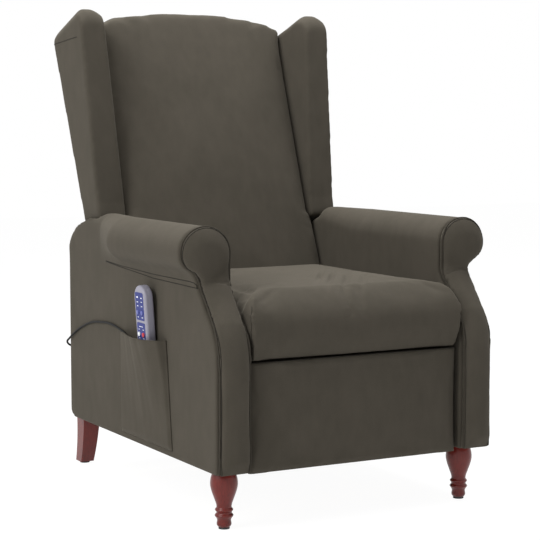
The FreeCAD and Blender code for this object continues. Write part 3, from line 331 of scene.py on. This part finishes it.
def stuffed(node, body, cell, relax, pressure=0.0, cap=0.0, draw=0.0, finer=False, crisp=-1.0,
            press=(0.0, 0.0)):
    """The cover of a padded piece: the skin of its solid rebuilt in even cells that lie on it, its
    edges above the crisp height relaxed as wadding rounds them, drawn in a little, then blown up as
    a cloth under pressure, with each point's travel held to a cap, then pressed flat below and above
    by the press, and last stretched evenly along each axis until it fills its solid's box again."""
    name = node + "_cover"
    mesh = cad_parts[node].data.copy()
    shell = bmesh.new()
    shell.from_mesh(mesh)
    bmesh.ops.remove_doubles(shell, verts=shell.verts, dist=1e-5)
    shell.to_mesh(mesh)
    shell.free()
    mesh.materials.clear()
    form = bpy.data.objects.new(name + "_form", mesh)
    piece = bpy.data.objects.new(name, mesh.copy())
    for each in (form, piece):
        bpy.context.collection.objects.link(each)
    to_set_out = upright if body == "back" else np.asarray
    to_place = leaned if body == "back" else np.asarray
    solid = to_set_out(read_points(form)[0])
    remesh = piece.modifiers.new("even_cells", "REMESH")
    remesh.mode = "VOXEL"
    remesh.voxel_size = cell
    wrap = piece.modifiers.new("on_the_form", "SHRINKWRAP")
    wrap.target = form
    wrap.wrap_method = "NEAREST_SURFACEPOINT"
    bake_modifiers(piece)
    bpy.data.objects.remove(form)
    points = to_set_out(read_points(piece)[0])
    soft = piece.vertex_groups.new(name="soft_edges")
    soft.add(np.nonzero(points[:, 2] > crisp)[0].tolist(), 1.0, "REPLACE")
    smooth = piece.modifiers.new("wadding", "SMOOTH")
    smooth.factor = 0.5
    smooth.iterations = relax
    smooth.vertex_group = soft.name
    bake_modifiers(piece)
    points, normals = read_points(piece)
    if draw:
        points = points - normals * draw
        write_points(piece, points)
    if pressure:
        cloth = piece.modifiers.new("cover", "CLOTH")
        cloth.settings.use_pressure = True
        cloth.settings.uniform_pressure_force = pressure
        cloth.settings.effector_weights.gravity = 0
        cloth.settings.quality = 4
        cloth.settings.tension_stiffness = 15
        cloth.settings.compression_stiffness = 15
        cloth.settings.bending_stiffness = 0.5
        cloth.collision_settings.use_collision = False
        steps = 20
        for step in range(1, steps + 1):
            bpy.context.scene.frame_set(step)
        bake_modifiers(piece)
        travel = read_points(piece)[0] - points
        far = np.linalg.norm(travel, axis=1, keepdims=True)
        points = points + travel * np.minimum(1, cap / np.maximum(far, 1e-9))
        bpy.context.scene.frame_set(1)
    points = to_set_out(points)
    low, high = points.min(0), points.max(0)
    low[2] += press[0]
    high[2] -= press[1]
    points[:, 2] = np.clip(points[:, 2], low[2], high[2])
    margin = 0.0002
    wanted_low, wanted_high = solid.min(0) + margin, solid.max(0) - margin
    points = wanted_low + (points - low) * (wanted_high - wanted_low) / (high - low)
    write_points(piece, to_place(points))
    if finer:
        smoother = piece.modifiers.new("finer", "SUBSURF")
        smoother.levels = smoother.render_levels = 1
        bake_modifiers(piece)
    piece.data.materials.clear()
    piece.data.materials.append(MICROFIBRE)
    piece.data.polygons.foreach_set("use_smooth", [True] * len(piece.data.polygons))
    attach(piece, body)
    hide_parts(node)
    return piece


covers = {}
for side in ("l", "r"):
    covers["arm_pad_" + side] = stuffed("arm_pad_" + side, "base", 0.006, 6)
    covers["arm_front_" + side] = stuffed("arm_front_" + side, "base", 0.0035, 9, pressure=3.0, cap=0.003,
                                           draw=0.001)
    covers["wing_" + side] = stuffed("wing_" + side, "back", 0.0035, 12)
outside = stuffed("outside_back", "back", 0.005, 3)
seat = stuffed("seat_cushion", "seat", 0.006, 6, pressure=4.0, cap=0.008, draw=0.005, finer=True,
               crisp=0.342, press=(0.009, 0.0))
back = stuffed("back_cushion", "back", 0.006, 24, pressure=4.0, cap=0.008, draw=0.005, finer=True)
stuffed("footrest_pad", "footrest", 0.005, 3, pressure=4.0, cap=0.006, draw=0.003,
        press=(0.003, 0.006))


# Heads of the back and the wings


def shaped_heads():
    """The covers settle once more. In the upright set-out, the head of the back rises by an eased
    step of height and falls at its corners, and its foot fills out to the arms below the wings. The
    head of each wing falls towards both sides by eased steps of height times width, and its foot is
    drawn down towards the arm, less and less to the rear."""
    for piece in (back, outside, covers["wing_l"], covers["wing_r"]):
        settle = piece.modifiers.new("settled", "SMOOTH")
        settle.factor = 0.5
        settle.iterations = 12
        bake_modifiers(piece)
    head_rise, corner_fall, foot_fill = 0.020, 0.012, 0.006
    for piece in (back, outside):
        points = upright(read_points(piece)[0])
        x, z = points[:, 0], points[:, 2]
        fill = foot_fill * soft_step((np.abs(x) - 0.19) / 0.045) * soft_step((0.136 - z) / 0.014)
        rise = head_rise - corner_fall * soft_step((np.abs(x) - 0.175) / 0.055)
        points[:, 0] = np.clip(x + np.sign(x) * fill, -COVER_SIDE, COVER_SIDE)
        points[:, 2] = z + rise * soft_step((z - 0.42) / 0.16)
        write_points(piece, leaned(points))
    inner_fall, outer_fall, foot_drop = 0.022, 0.011, 0.018
    for letter in ("l", "r"):
        points = upright(read_points(covers["wing_" + letter])[0])
        x, y, z = points.T
        inner = inner_fall * soft_step((0.279 - np.abs(x)) / 0.048)
        outer = outer_fall * soft_step((np.abs(x) - 0.290) / 0.028)
        drop = (inner + outer) * soft_step((z - 0.46) / 0.13)
        foot = foot_drop * soft_step((0.166 - z) / 0.026) * soft_step((0.082 - y) / 0.022)
        points[:, 2] = z - drop - foot
        write_points(covers["wing_" + letter], leaned(points))


shaped_heads()


def wing_skirts():
    """A cloth skirt under the inner edge of each wing, that closes the way between wing and arm:
    a flat sheet over depth and height in the upright set-out, bowed a little towards the arm."""
    rows, columns = 16, 24
    beside, front, foot, deep, high, bowed = 0.2405, 0.018, 0.085, 0.062, 0.041, 0.0008
    depth, height = np.meshgrid(np.linspace(front, front + deep, columns),
                                np.linspace(foot, foot + high, rows))
    bow = bowed * np.sin(math.pi * (height - foot) / high)
    for letter, hand in (("l", 1), ("r", -1)):
        points = leaned(np.stack([hand * (beside + bow), depth, height], -1))
        piece = new_piece("wing_skirt_" + letter, points, grid_faces(rows, columns), MICROFIBRE, "back")
        wall = piece.modifiers.new("cloth_thickness", "SOLIDIFY")
        wall.thickness = 0.0012
        wall.offset = 0


wing_skirts()


# Seat details: full shoulders, gathered corner seams and the soft creases where someone sits


def full_shoulders():
    """Squares the seat cover's shoulders towards the front: the corner of each cross-section, seen
    as a quarter circle of width and height shares, goes out to the curve whose fourth powers sum to
    one. Both sides fill out to the arms, and the lower front edge sinks by eased steps, a little
    more at its ends."""
    points = read_points(seat)[0]
    x, y, z = points.T
    low, inner, wide, side_fill = 0.395, 0.195, 0.043, 0.0062
    top = np.interp(y - REAR, SEAT_EDGE_Y, SEAT_EDGE_Z)
    across = np.clip((np.abs(x) - inner) / wide, 0, 1)
    up = np.clip((z - low) / (top - low), 0, 1)
    grow = np.hypot(across, up) / np.maximum(across ** 4 + up ** 4, 1e-12) ** 0.25
    share = soft_step((-0.10 - y) / 0.15)
    grow = share * np.where((across > 0) & (up > 0), grow - 1, 0)
    sink = 0.002 + 0.002 * soft_step(across)
    sink = sink * soft_step((0.352 - z) / 0.014) * soft_step((-0.33 - y) / 0.05)
    points[:, 0] = np.clip(x + np.sign(x) * across * (grow * wide + side_fill), -COVER_SIDE, COVER_SIDE)
    points[:, 2] = z + grow * up * (top - low) - sink
    write_points(seat, points)


full_shoulders()


def seat_sewing():
    """Moves the seat cover's points along their normals: a gathered seam pulls in along each
    upright front corner, as a bell across the seam times a wave along it, and a few long creases
    run back from the front edge, each a bell across times a bell along."""
    points, normals = read_points(seat)
    x, y, z = points.T
    move = np.zeros(len(points))
    gather_deep, gather_wide, gather_length = 0.0014, 0.008, 0.011
    slant, crease_long = 0.67, 0.075
    for hand in (-1, 1):
        off = np.hypot(x - hand * SEAT_CORNER_X, y - SEAT_CORNER_Y)
        along = soft_step((z - 0.338) / 0.015) * soft_step((0.450 - z) / 0.02)
        wave = 0.6 + 0.4 * np.sin(2 * math.pi * z / gather_length + hand)
        move -= gather_deep * along * wave * np.exp(-(off / gather_wide) ** 2)
    for start, middle, wide, deep in ((0.039, -0.23, 0.007, 0.0060), (0.067, -0.26, 0.007, 0.0070),
                                      (0.105, -0.29, 0.008, 0.0065), (0.147, -0.31, 0.008, 0.0045)):
        across = x - start - slant * (y + 0.20)
        along = np.exp(-((y - middle) / crease_long) ** 2) * soft_step((normals[:, 2] - 0.4) / 0.3)
        move -= deep * along * np.exp(-(across / wide) ** 2)
    write_points(seat, points + normals * move[:, None])


seat_sewing()


# Arm fronts


def full_fronts():
    """Moves the arm fronts' covers out along their normals, as a filling does: a parabola across
    the straight part, one round the middle of the roll, and an eased step of height between."""
    roll = (ARM_OUTER - ARM_INNER) / 2
    half = (ARM_SIDE - ARM_INNER) / 2
    filling = 0.012
    for letter in ("l", "r"):
        piece = covers["arm_front_" + letter]
        points, normals = read_points(piece)
        x, z = points[:, 0], points[:, 2]
        straight = 1 - ((np.abs(x) - ARM_INNER - half) / half) ** 2
        round_ = 1 - np.hypot(np.abs(x) - ARM_INNER - roll, z - ARM_TOP + roll) ** 2 / roll ** 2
        share = soft_step((z - ROLL_NECK + 0.012) / 0.045)
        full = (1 - share) * np.clip(straight, 0, 1) + share * np.clip(round_, 0, 1)
        full *= soft_step((-normals[:, 1] - 0.2) / 0.5) * soft_step((z - ARM_FOOT) / 0.03)
        write_points(piece, points + normals * (filling * full)[:, None])


full_fronts()


# Piping round the arm fronts


def laid_on(line, piece, lift):
    """A line laid on a cover: each point goes along the normal of the cover's nearest point,
    until it stands the lift above the plane through that point."""
    points, normals = read_points(piece)
    far = (points * points).sum(1)[None] - 2 * line @ points.T
    near = far.argmin(1)
    up = normals[near]
    return line + up * (((points[near] - line) * up).sum(1, keepdims=True) + lift)


def arm_outline():
    """Outline of an arm front in X and Z: up the inside, a half circle over the roll,
    two equal arcs of opposite bend into the neck, and down the outside."""
    radius = (ARM_OUTER - ARM_INNER) / 2
    middle, centre = ARM_INNER + radius, ARM_TOP - radius
    over, drop = ARM_OUTER - ARM_SIDE, centre - ROLL_NECK
    bend = (over * over + drop * drop) / (4 * over)
    turn = math.degrees(math.asin(drop / 2 / bend))
    foot = ARM_FOOT + 0.003
    return np.concatenate([
        [[ARM_INNER, foot], [ARM_INNER, centre - 0.01]],
        arc((middle, centre), radius, 180, 0, 60),
        arc((ARM_OUTER - bend, centre), bend, 0, -turn, 20)[1:],
        arc((ARM_SIDE + bend, ROLL_NECK), bend, 180 - turn, 180, 20)[1:],
        [[ARM_SIDE, foot]]])


def arm_face(z):
    """Y of the arm front at a height: upright, a bulging arc to the slope's angle, the straight
    slope, a hollow arc back to upright, upright again."""
    run = SCROLL_FRONT - ARM_FRONT
    bends = KNEE_BEND + SCROLL_BEND
    straight = (run - bends * (1 - math.cos(OGEE))) / math.sin(OGEE)
    top = KNEE + bends * math.sin(OGEE) + straight * math.cos(OGEE)
    up = np.clip(z - KNEE, 0, KNEE_BEND * math.sin(OGEE))
    down = np.clip(top - z, 0, SCROLL_BEND * math.sin(OGEE))
    low = ARM_FRONT + KNEE_BEND - np.sqrt(KNEE_BEND ** 2 - up * up)
    high = SCROLL_FRONT - SCROLL_BEND + np.sqrt(SCROLL_BEND ** 2 - down * down)
    slope_low = KNEE + KNEE_BEND * math.sin(OGEE)
    slope_high = top - SCROLL_BEND * math.sin(OGEE)
    slope = np.clip(z - slope_low, 0, slope_high - slope_low) * math.tan(OGEE)
    return np.where(z < slope_high, low + slope, high)


def arm_edge(hand, out_by, back_by):
    """The outline on the arm front, moved out across itself and back along Y, less and less back
    towards the inner edge."""
    line = even(arm_outline(), 0.004)
    out = np.gradient(line, axis=0)
    out = np.stack([-out[:, 1], out[:, 0]], 1)
    out /= np.linalg.norm(out, axis=1, keepdims=True)
    line = line + out * out_by
    back_by = back_by * soft_step((line[:, 0] - ARM_INNER) / 0.02)
    return np.stack([hand * line[:, 0], arm_face(line[:, 1]) + back_by, line[:, 1]], 1)


def arm_piping(hand, letter):
    """A round piping carried along the edge of the arm front, half sunk in the seam."""
    path = arm_edge(hand, out_by=0.0006, back_by=0.0045)
    path = laid_on(path, covers["arm_front_" + letter], lift=PIPING_RADIUS / 2)
    points, faces = carried_ring(path, PIPING_RADIUS, (0, 1, 0), 10)
    piece = new_piece("arm_piping_" + letter, points, faces, PIPING_CREASE_SHADED, "base")
    turn_out(piece)


arm_piping(1, "l")
arm_piping(-1, "r")


# Seams


def seam(name, line, piece, body, radius):
    """A sewn seam, or a line of painted crease shade: a thin thread carried along a line that is laid on a
    cover. The direction across is one that no seam runs along."""
    path = laid_on(even(line, 0.003), piece, lift=0.0)
    points, faces = carried_ring(path, radius, (0.9, 0.1, 0.4), 6)
    turn_out(new_piece(name, points, faces, THREAD_AND_CREASE_SHADE, body))


for letter, hand in (("l", 1), ("r", -1)):
    pad, wing = covers["arm_pad_" + letter], covers["wing_" + letter]
    side_x = hand * (ARM_SIDE + 0.001)
    # A dark thread line just inside each piping: painted shade of the crease between piping and arm front
    seam("painted_crease_shade_" + letter, arm_edge(hand, out_by=-0.0032, back_by=0.0),
         covers["arm_front_" + letter], "base", FINE_SEAM_RADIUS)
    seam("tuck_seam_upper_" + letter, [(side_x, y, z) for y, z in TUCK_UPPER], pad, "base", SEAM_RADIUS)
    seam("tuck_seam_lower_" + letter, [(side_x, y, z) for y, z in TUCK_LOWER], pad, "base", SEAM_RADIUS)
    seam("wing_seam_" + letter, [(hand * x, y, z) for x, y, z in WING_SEAM], wing, "back", FINE_SEAM_RADIUS)
    height = np.linspace(STITCH_TOP, STITCH_FOOT, STITCHES)
    swing = STITCH_SWING * (np.arange(STITCHES) % 2 * 2 - 1)
    zigzag = np.stack([hand * (0.2402 + swing + 0.0020 * (height - 0.40) / 0.044),
                       np.full(STITCHES, SEAT_CORNER_Y + 0.0005), height], 1)
    seam("seat_corner_seam_" + letter, zigzag, seat, "seat", STITCH_RADIUS)


# Legs


def turned_leg():
    """Front legs: a profile of radius over height, turned round each leg's own axis. The profile
    runs foot, two beads, neck, bulb and shoulder, as cubics whose slope at each given height is that
    of its neighbours."""
    height = np.array([0.004, 0.006, 0.019, 0.0215, 0.0265, 0.0315, 0.0325, 0.0375, 0.0425, 0.046,
                       0.060, 0.074, 0.087, 0.100, 0.110, 0.113])
    radius = np.array([0.0115, 0.0132, 0.0140, 0.0152, 0.0183, 0.0150, 0.0150, 0.0178, 0.0148, 0.0150,
                       0.0194, 0.0243, 0.0270, 0.0258, 0.0228, 0.0220])
    at = np.linspace(height[0], height[-1], 140)
    thinnest, thickest = 0.010, 0.0271
    k = np.clip(np.searchsorted(height, at, "right") - 1, 0, len(height) - 2)
    gap = height[k + 1] - height[k]
    share = (at - height[k]) / gap
    slope = np.gradient(radius, height)
    h0, h1 = 2 * share**3 - 3 * share**2 + 1, -2 * share**3 + 3 * share**2
    g0, g1 = share**3 - 2 * share**2 + share, share**3 - share**2
    size = h0 * radius[k] + h1 * radius[k + 1] + gap * (g0 * slope[k] + g1 * slope[k + 1])
    size = np.clip(size, thinnest, thickest)
    count = 64
    turn = np.arange(count) * 2 * math.pi / count
    ring = np.stack([np.cos(turn), np.sin(turn)], 1)
    faces = tube_faces(len(at), count)
    points, all_faces = [], []
    for number, hand in enumerate((-1, 1)):
        flat = size[:, None, None] * ring[None] + np.array([hand * LEG_X, FRONT_LEG_Y])
        points.append(np.concatenate([flat, np.broadcast_to(at[:, None, None], (len(at), count, 1))], 2))
        shift = number * len(at) * count
        all_faces += [[v + shift for v in face] for face in faces]
    piece = new_piece("front_legs_turned", np.stack(points), all_faces, MAHOGANY, "base")
    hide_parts("front_legs")
    turn_out(piece)


turned_leg()


# Side pocket, a sheet of the same cloth


def pocket_sheet():
    """Pocket front over length and height: it stands off the arm by a hollow wedge that opens
    upwards times a plan that is flat at the handset and falls evenly to both ends, its corners blunted
    by the log of a sum of exponentials, pressed to the arm along its three sewn edges, with soft
    upright folds added as waves."""
    rows, columns = 70, 110
    front_slant, foot_off, least_off, sewn_side, sewn_foot = 0.026, 0.004, 0.0028, 0.035, 0.05
    s, t = np.meshgrid(np.linspace(0, 1, columns), np.linspace(0, 1, rows))
    front = POCKET_FRONT + front_slant * t
    y = front + (POCKET_REAR - front) * s
    rear_fall = 0.004 * soft_step((y - 0.004) / 0.028)
    front_rise = 0.005 * np.clip((-0.050 - y) / 0.150, 0, 1) ** 1.3
    rim = POCKET_RIM - rear_fall + front_rise
    z = POCKET_FOOT + (rim - POCKET_FOOT) * t
    wedge = POCKET_OPEN * np.clip((z - POCKET_FOOT) / 0.210, 0, None) ** 1.7
    plan = np.minimum((y - POCKET_FRONT) / (GRIP_FRONT - POCKET_FRONT),
                      (POCKET_REAR - y) / (POCKET_REAR - GRIP_REAR))
    blunt = 0.08
    off = foot_off - wedge * blunt * np.logaddexp(-1 / blunt, -plan / blunt)
    sewn = soft_step(s / sewn_side) * soft_step((1 - s) / sewn_side) * soft_step(t / sewn_foot)
    folds = 0.0004 * np.sin(2 * math.pi * (s * 4.3 + 0.35 * t))
    folds += 0.0002 * np.sin(2 * math.pi * (s * 9 - 0.3 * t))
    off = np.maximum(off + folds * np.sin(math.pi * s) * (0.3 + 0.7 * t), least_off)
    x = SIDE_FACE - off * sewn
    points = np.stack([x, y, z], -1)
    piece = new_piece("side_pocket_cloth", points, grid_faces(rows, columns), MICROFIBRE, "base")
    wall = piece.modifiers.new("cloth_thickness", "SOLIDIFY")
    wall.thickness = 0.0016
    wall.offset = -1
    hem_line = even(points[-1] + np.array([-0.0004, 0, 0]), 0.004)
    hem_points, hem_faces = carried_ring(hem_line, 0.0016, (1, 0, 0), 8)
    hem = new_piece("side_pocket_hem", hem_points, hem_faces, MICROFIBRE, "base")
    turn_out(hem)
    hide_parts("side_pocket")


pocket_sheet()


# Handset lead


def handset_lead():
    """The lead's route as straight runs joined by arcs: at each corner the arc of the given bend
    touches both runs, and its points are worked out in the plane of the two."""
    thick = 0.0045
    route = np.array([
        (-0.3220, -0.1250, 0.3042), (-0.3220, -0.1250, 0.2550), (-0.3185, -0.0350, 0.2550),
        (-0.3147, -0.0040, 0.3380), (-0.3147, 0.0858, 0.3533), (-0.3147, 0.1930, 0.3447),
        (-0.3147, 0.2780, 0.3167), (-0.3200, 0.3370, 0.2800), (-0.2320, 0.3370, 0.2380),
        (-0.2320, 0.3213, 0.2380)])
    route[:, 1] += REAR
    bends = (0, 0.025, 0.040, 0.040, 0.300, 0.300, 0.250, 0.018, 0.018, 0)
    line = [route[:1]]
    for k in range(1, len(route) - 1):
        before, after = route[k - 1] - route[k], route[k + 1] - route[k]
        before, after = before / np.linalg.norm(before), after / np.linalg.norm(after)
        opening = math.acos(before @ after) / 2
        inward = (before + after) / np.linalg.norm(before + after)
        across = (after - before) / np.linalg.norm(after - before)
        turn = np.linspace(opening - math.pi / 2, math.pi / 2 - opening, 16)[:, None]
        centre = route[k] + inward * bends[k] / math.sin(opening)
        line.append(centre + bends[k] * (np.sin(turn) * across - np.cos(turn) * inward))
    line = np.concatenate(line + [route[-1:]])
    curve = bpy.data.curves.new("handset_lead_cord", "CURVE")
    curve.dimensions = "3D"
    curve.bevel_depth = thick / 2
    curve.bevel_resolution = 4
    curve.resolution_u = 3
    curve.use_fill_caps = True
    spline = curve.splines.new("NURBS")
    spline.points.add(len(line) - 1)
    spline.points.foreach_set("co", np.concatenate([line, np.ones((len(line), 1))], 1).ravel())
    spline.order_u = 4
    spline.use_endpoint_u = True
    curve.materials.append(PVC_BLACK)
    piece = bpy.data.objects.new("handset_lead_cord", curve)
    bpy.context.collection.objects.link(piece)
    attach(piece, "base")
    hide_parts("handset_lead")


handset_lead()


# Handset shells and the print on its films


def in_hand(points):
    """Points of the upright handset, face to -X, leaned outwards and set in the pocket."""
    x, y, z = np.moveaxis(np.asarray(points, float), -1, 0)
    c, s = math.cos(HANDSET_LEAN), math.sin(HANDSET_LEAN)
    return np.stack([c * x - s * z, y, s * x + c * z], -1) + HANDSET


def pill(inset, head=0.0255, foot=0.019):
    """Outline of the handset in Y and Z, drawn in by an inset: four arcs, the upper two wider."""
    side, top = HAND_HALF - head, HAND_LONG - head
    return np.concatenate([
        arc((side, top), head - inset, 0, 90, 18), arc((-side, top), head - inset, 90, 180, 18),
        arc((foot - HAND_HALF, foot), foot - inset, 180, 270, 18),
        arc((HAND_HALF - foot, foot), foot - inset, 270, 360, 18)])


def window(round_=0.005):
    """Outline of the opening under both films in Y and Z: four arcs, in step with the outline."""
    side, low, high = FILM_HALF - round_, FILM_LOW + round_, FILM_HIGH - round_
    return np.concatenate([
        arc((side, high), round_, 0, 90, 18), arc((-side, high), round_, 90, 180, 18),
        arc((-side, low), round_, 180, 270, 18), arc((side, low), round_, 270, 360, 18)])


def rows_of(steps):
    """Points of outlines at their depths: each step is an outline and its X."""
    return np.stack([np.column_stack([np.full(len(outline), x), outline]) for outline, x in steps])


def handset_shells():
    """Two thin shells: the pill outline carried over a profile of a straight wall, a round edge and
    a face, and back inside by the wall's thickness; the front one is open under the films."""
    wall, part, edge, rear_edge = 0.002, -HAND_THICK / 2, 0.0055, 0.0045
    groove_in, groove_out = 0.0003, 0.0004
    turn = np.radians(np.linspace(0, 90, 9))
    front = [(pill(groove_in), part), (pill(0), part - groove_out)]
    front += [(pill(edge * (1 - math.cos(t))), -HAND_THICK + edge * (1 - math.sin(t))) for t in turn]
    front += [(window(), -HAND_THICK), (window(), -HAND_THICK + wall), (pill(wall), -HAND_THICK + wall),
              (pill(wall), part)]
    points = rows_of(front)
    faces = grid_faces(*points.shape[:2], round_rows=True, round_columns=True)
    y, z = FILM_HALF, FILM_SPLIT
    corners = [(x, a, b) for x in (-HAND_THICK, -HAND_THICK + wall) for a, b in
               ((-y, z), (y, z), (y, z + FILM_GAP), (-y, z + FILM_GAP))]
    base = points.shape[0] * points.shape[1]
    faces += (base + BOX_FACES).tolist()
    points = np.concatenate([points.reshape(-1, 3), corners])
    piece = new_piece("handset_shell_front", in_hand(points), faces, ABS_GREY, "handset")
    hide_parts("handset_front")
    turn_out(piece)
    piece.data.set_sharp_from_angle(angle=math.radians(35))
    rear = [(pill(wall), -wall), (pill(wall), part), (pill(groove_in), part),
            (pill(0), part + groove_out)]
    rear += [(pill(rear_edge * (1 - math.cos(t))), -rear_edge * (1 - math.sin(t))) for t in turn]
    points = rows_of(rear)
    faces = tube_faces(*points.shape[:2])
    piece = new_piece("handset_shell_rear", in_hand(points), faces, ABS_GREY, "handset")
    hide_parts("handset_rear")
    turn_out(piece)
    piece.data.set_sharp_from_angle(angle=math.radians(35))


def film_print():
    """White bars and squares printed on the films, each a flat plate."""
    # Y and Z of each mark's middle, its width and its height
    marks = np.array([(-0.010, 0.125, 0.006, 0.0016), (0.009, 0.126, 0.007, 0.0030),
                      (-0.010, 0.117, 0.005, 0.0016), (0.009, 0.116, 0.007, 0.0016),
                      (-0.010, 0.108, 0.006, 0.0016), (0.009, 0.108, 0.006, 0.0016),
                      (-0.010, 0.085, 0.006, 0.0014), (0.010, 0.085, 0.006, 0.0014),
                      (0.000, 0.066, 0.018, 0.0012), (-0.010, 0.060, 0.005, 0.0014),
                      (0.010, 0.060, 0.005, 0.0014), (-0.010, 0.042, 0.006, 0.0014),
                      (0.010, 0.042, 0.006, 0.0014)])
    half_thick = 0.0001
    corner = np.array([(x, a, b) for x in (-1, 1) for a, b in ((-1, -1), (1, -1), (1, 1), (-1, 1))])
    size = np.column_stack([np.full(len(marks), half_thick), marks[:, 2:] / 2])
    middle = np.column_stack([np.full(len(marks), -FILM_FACE), marks[:, :2]])
    points = middle[:, None] + corner[None] * size[:, None]
    faces = (np.arange(len(marks))[:, None, None] * 8 + BOX_FACES[None]).reshape(-1, 4).tolist()
    piece = new_piece("film_print", in_hand(points), faces, PRINT_WHITE, "handset", smooth=False)
    turn_out(piece)


handset_shells()
film_print()


# Finishes of the solids that stay in view


def dress(finish, *nodes):
    """Gives solids that stay as they are their finish."""
    for node in nodes:
        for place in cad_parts[node].material_slots:
            place.material = finish


dress(FRAME_WOOD, "arm_frame_l", "arm_frame_r", "front_stretcher", "rear_stretcher", "back_frame")
dress(WEBBING, "seat_webbing", "back_webbing")
dress(MAHOGANY, "rear_legs")
dress(STEEL_ZINC, "leg_bolts", "rivets_a", "rivets_b", "rivets_c", "seat_pivots")
dress(NYLON_BLACK, "leg_glides", "slide_tracks", "seat_runners", "power_inlet", "control_box",
      "lead_gland", "seat_motor_cups", "back_motor_cups")
dress(STEEL_BLACK, "seat_plate_l", "seat_plate_r", "hinge_brackets", "footrest_link_a",
      "footrest_link_b", "footrest_link_c", "footrest_link_d")
dress(STEEL_ROTOR, "seat_rotor_l", "seat_rotor_r", "back_rotor_low_l", "back_rotor_low_r",
      "back_rotor_high_l", "back_rotor_high_r")
dress(FELT, "heat_pad")
dress(MICROFIBRE, "rear_panel", "footrest_board", "seat_frame", "wing_boards")
dress(FILM_BLUE, "handset_overlay")
dress(CIRCUIT, "handset_circuit")
dress(KEY_RED, "key_power")
dress(KEY_WHITE, "key_heat")
dress(KEY_CLEAR, "key_mode", "key_timer")


# Stage


def studio():
    """Pale floor, soft lamps, a white surround for the eye and for reflections, and the camera."""
    reach = 9
    glow_level, glow_share, room_light = 1.065, 0.90, 0.36
    floor_mesh = bpy.data.meshes.new("studio_floor")
    floor_mesh.from_pydata([(-reach, -reach, 0), (reach, -reach, 0), (reach, reach, 0), (-reach, reach, 0)],
                           [], [(0, 1, 2, 3)])
    floor = bpy.data.objects.new("studio_floor", floor_mesh)
    bpy.context.collection.objects.link(floor)
    paint = bpy.data.materials.new("floor_paint_white")
    paint.use_nodes = True
    tree = paint.node_tree
    tree.nodes.clear()
    matt = add_node(tree, "ShaderNodeBsdfDiffuse", {"Color": (0.9, 0.9, 0.9, 1)})
    glow = add_node(tree, "ShaderNodeEmission", {"Color": linear("#ffffff"), "Strength": glow_level})
    ray = add_node(tree, "ShaderNodeLightPath")
    seen = add_node(tree, "ShaderNodeMath",
                    {0: ray.outputs["Is Camera Ray"], 1: ray.outputs["Is Glossy Ray"]}, operation="MAXIMUM")
    share = add_node(tree, "ShaderNodeMath", {0: seen.outputs[0], 1: glow_share}, operation="MULTIPLY")
    both = add_node(tree, "ShaderNodeMixShader",
                    {0: share.outputs[0], 1: matt.outputs[0], 2: glow.outputs[0]})
    add_node(tree, "ShaderNodeOutputMaterial", {"Surface": both.outputs[0]})
    floor_mesh.materials.append(paint)

    world = bpy.data.worlds.new("studio_world")
    bpy.context.scene.world = world
    world.use_nodes = True
    tree = world.node_tree
    tree.nodes.clear()
    ray = add_node(tree, "ShaderNodeLightPath")
    seen = add_node(tree, "ShaderNodeMath",
                    {0: ray.outputs["Is Camera Ray"], 1: ray.outputs["Is Glossy Ray"]}, operation="MAXIMUM")
    seen = add_node(tree, "ShaderNodeMath", {0: seen.outputs[0], 1: ray.outputs["Is Transmission Ray"]},
                    operation="MAXIMUM")
    level = add_node(tree, "ShaderNodeMapRange",
                     {"Value": seen.outputs[0], "To Min": room_light, "To Max": 1.0})
    light = add_node(tree, "ShaderNodeBackground",
                     {"Color": linear("#ffffff"), "Strength": level.outputs["Result"]})
    add_node(tree, "ShaderNodeOutputWorld", {"Surface": light.outputs[0]})

    for name, place, aim, size, power in (
            ("key_softbox", (-3.4, -0.7, 2.6), (0, 0, 0.5), 2.2, 102.0),
            ("top_softbox", (0.3, 0.2, 3.4), (0, -0.1, 0.5), 2.4, 140.0)):
        lamp = bpy.data.lights.new(name, "AREA")
        lamp.shape = "SQUARE"
        lamp.size = size
        lamp.energy = power
        holder = bpy.data.objects.new(name, lamp)
        bpy.context.collection.objects.link(holder)
        holder.location = place
        way = np.array(aim) - np.array(place)
        holder.rotation_euler = (math.acos(-way[2] / np.linalg.norm(way)), 0,
                                 math.atan2(way[1], way[0]) - math.pi / 2)

    lens = bpy.data.cameras.new("photo_camera")
    lens.sensor_width = CAMERA_SENSOR
    lens.lens = CAMERA_LENS
    camera = bpy.data.objects.new("photo_camera", lens)
    bpy.context.collection.objects.link(camera)
    camera.location = CAMERA_PLACE
    camera.rotation_euler = (math.radians(90 - CAMERA_PITCH), 0, math.radians(CAMERA_HEADING))
    bpy.context.scene.camera = camera
    bpy.context.scene.view_settings.view_transform = "Standard"


studio()
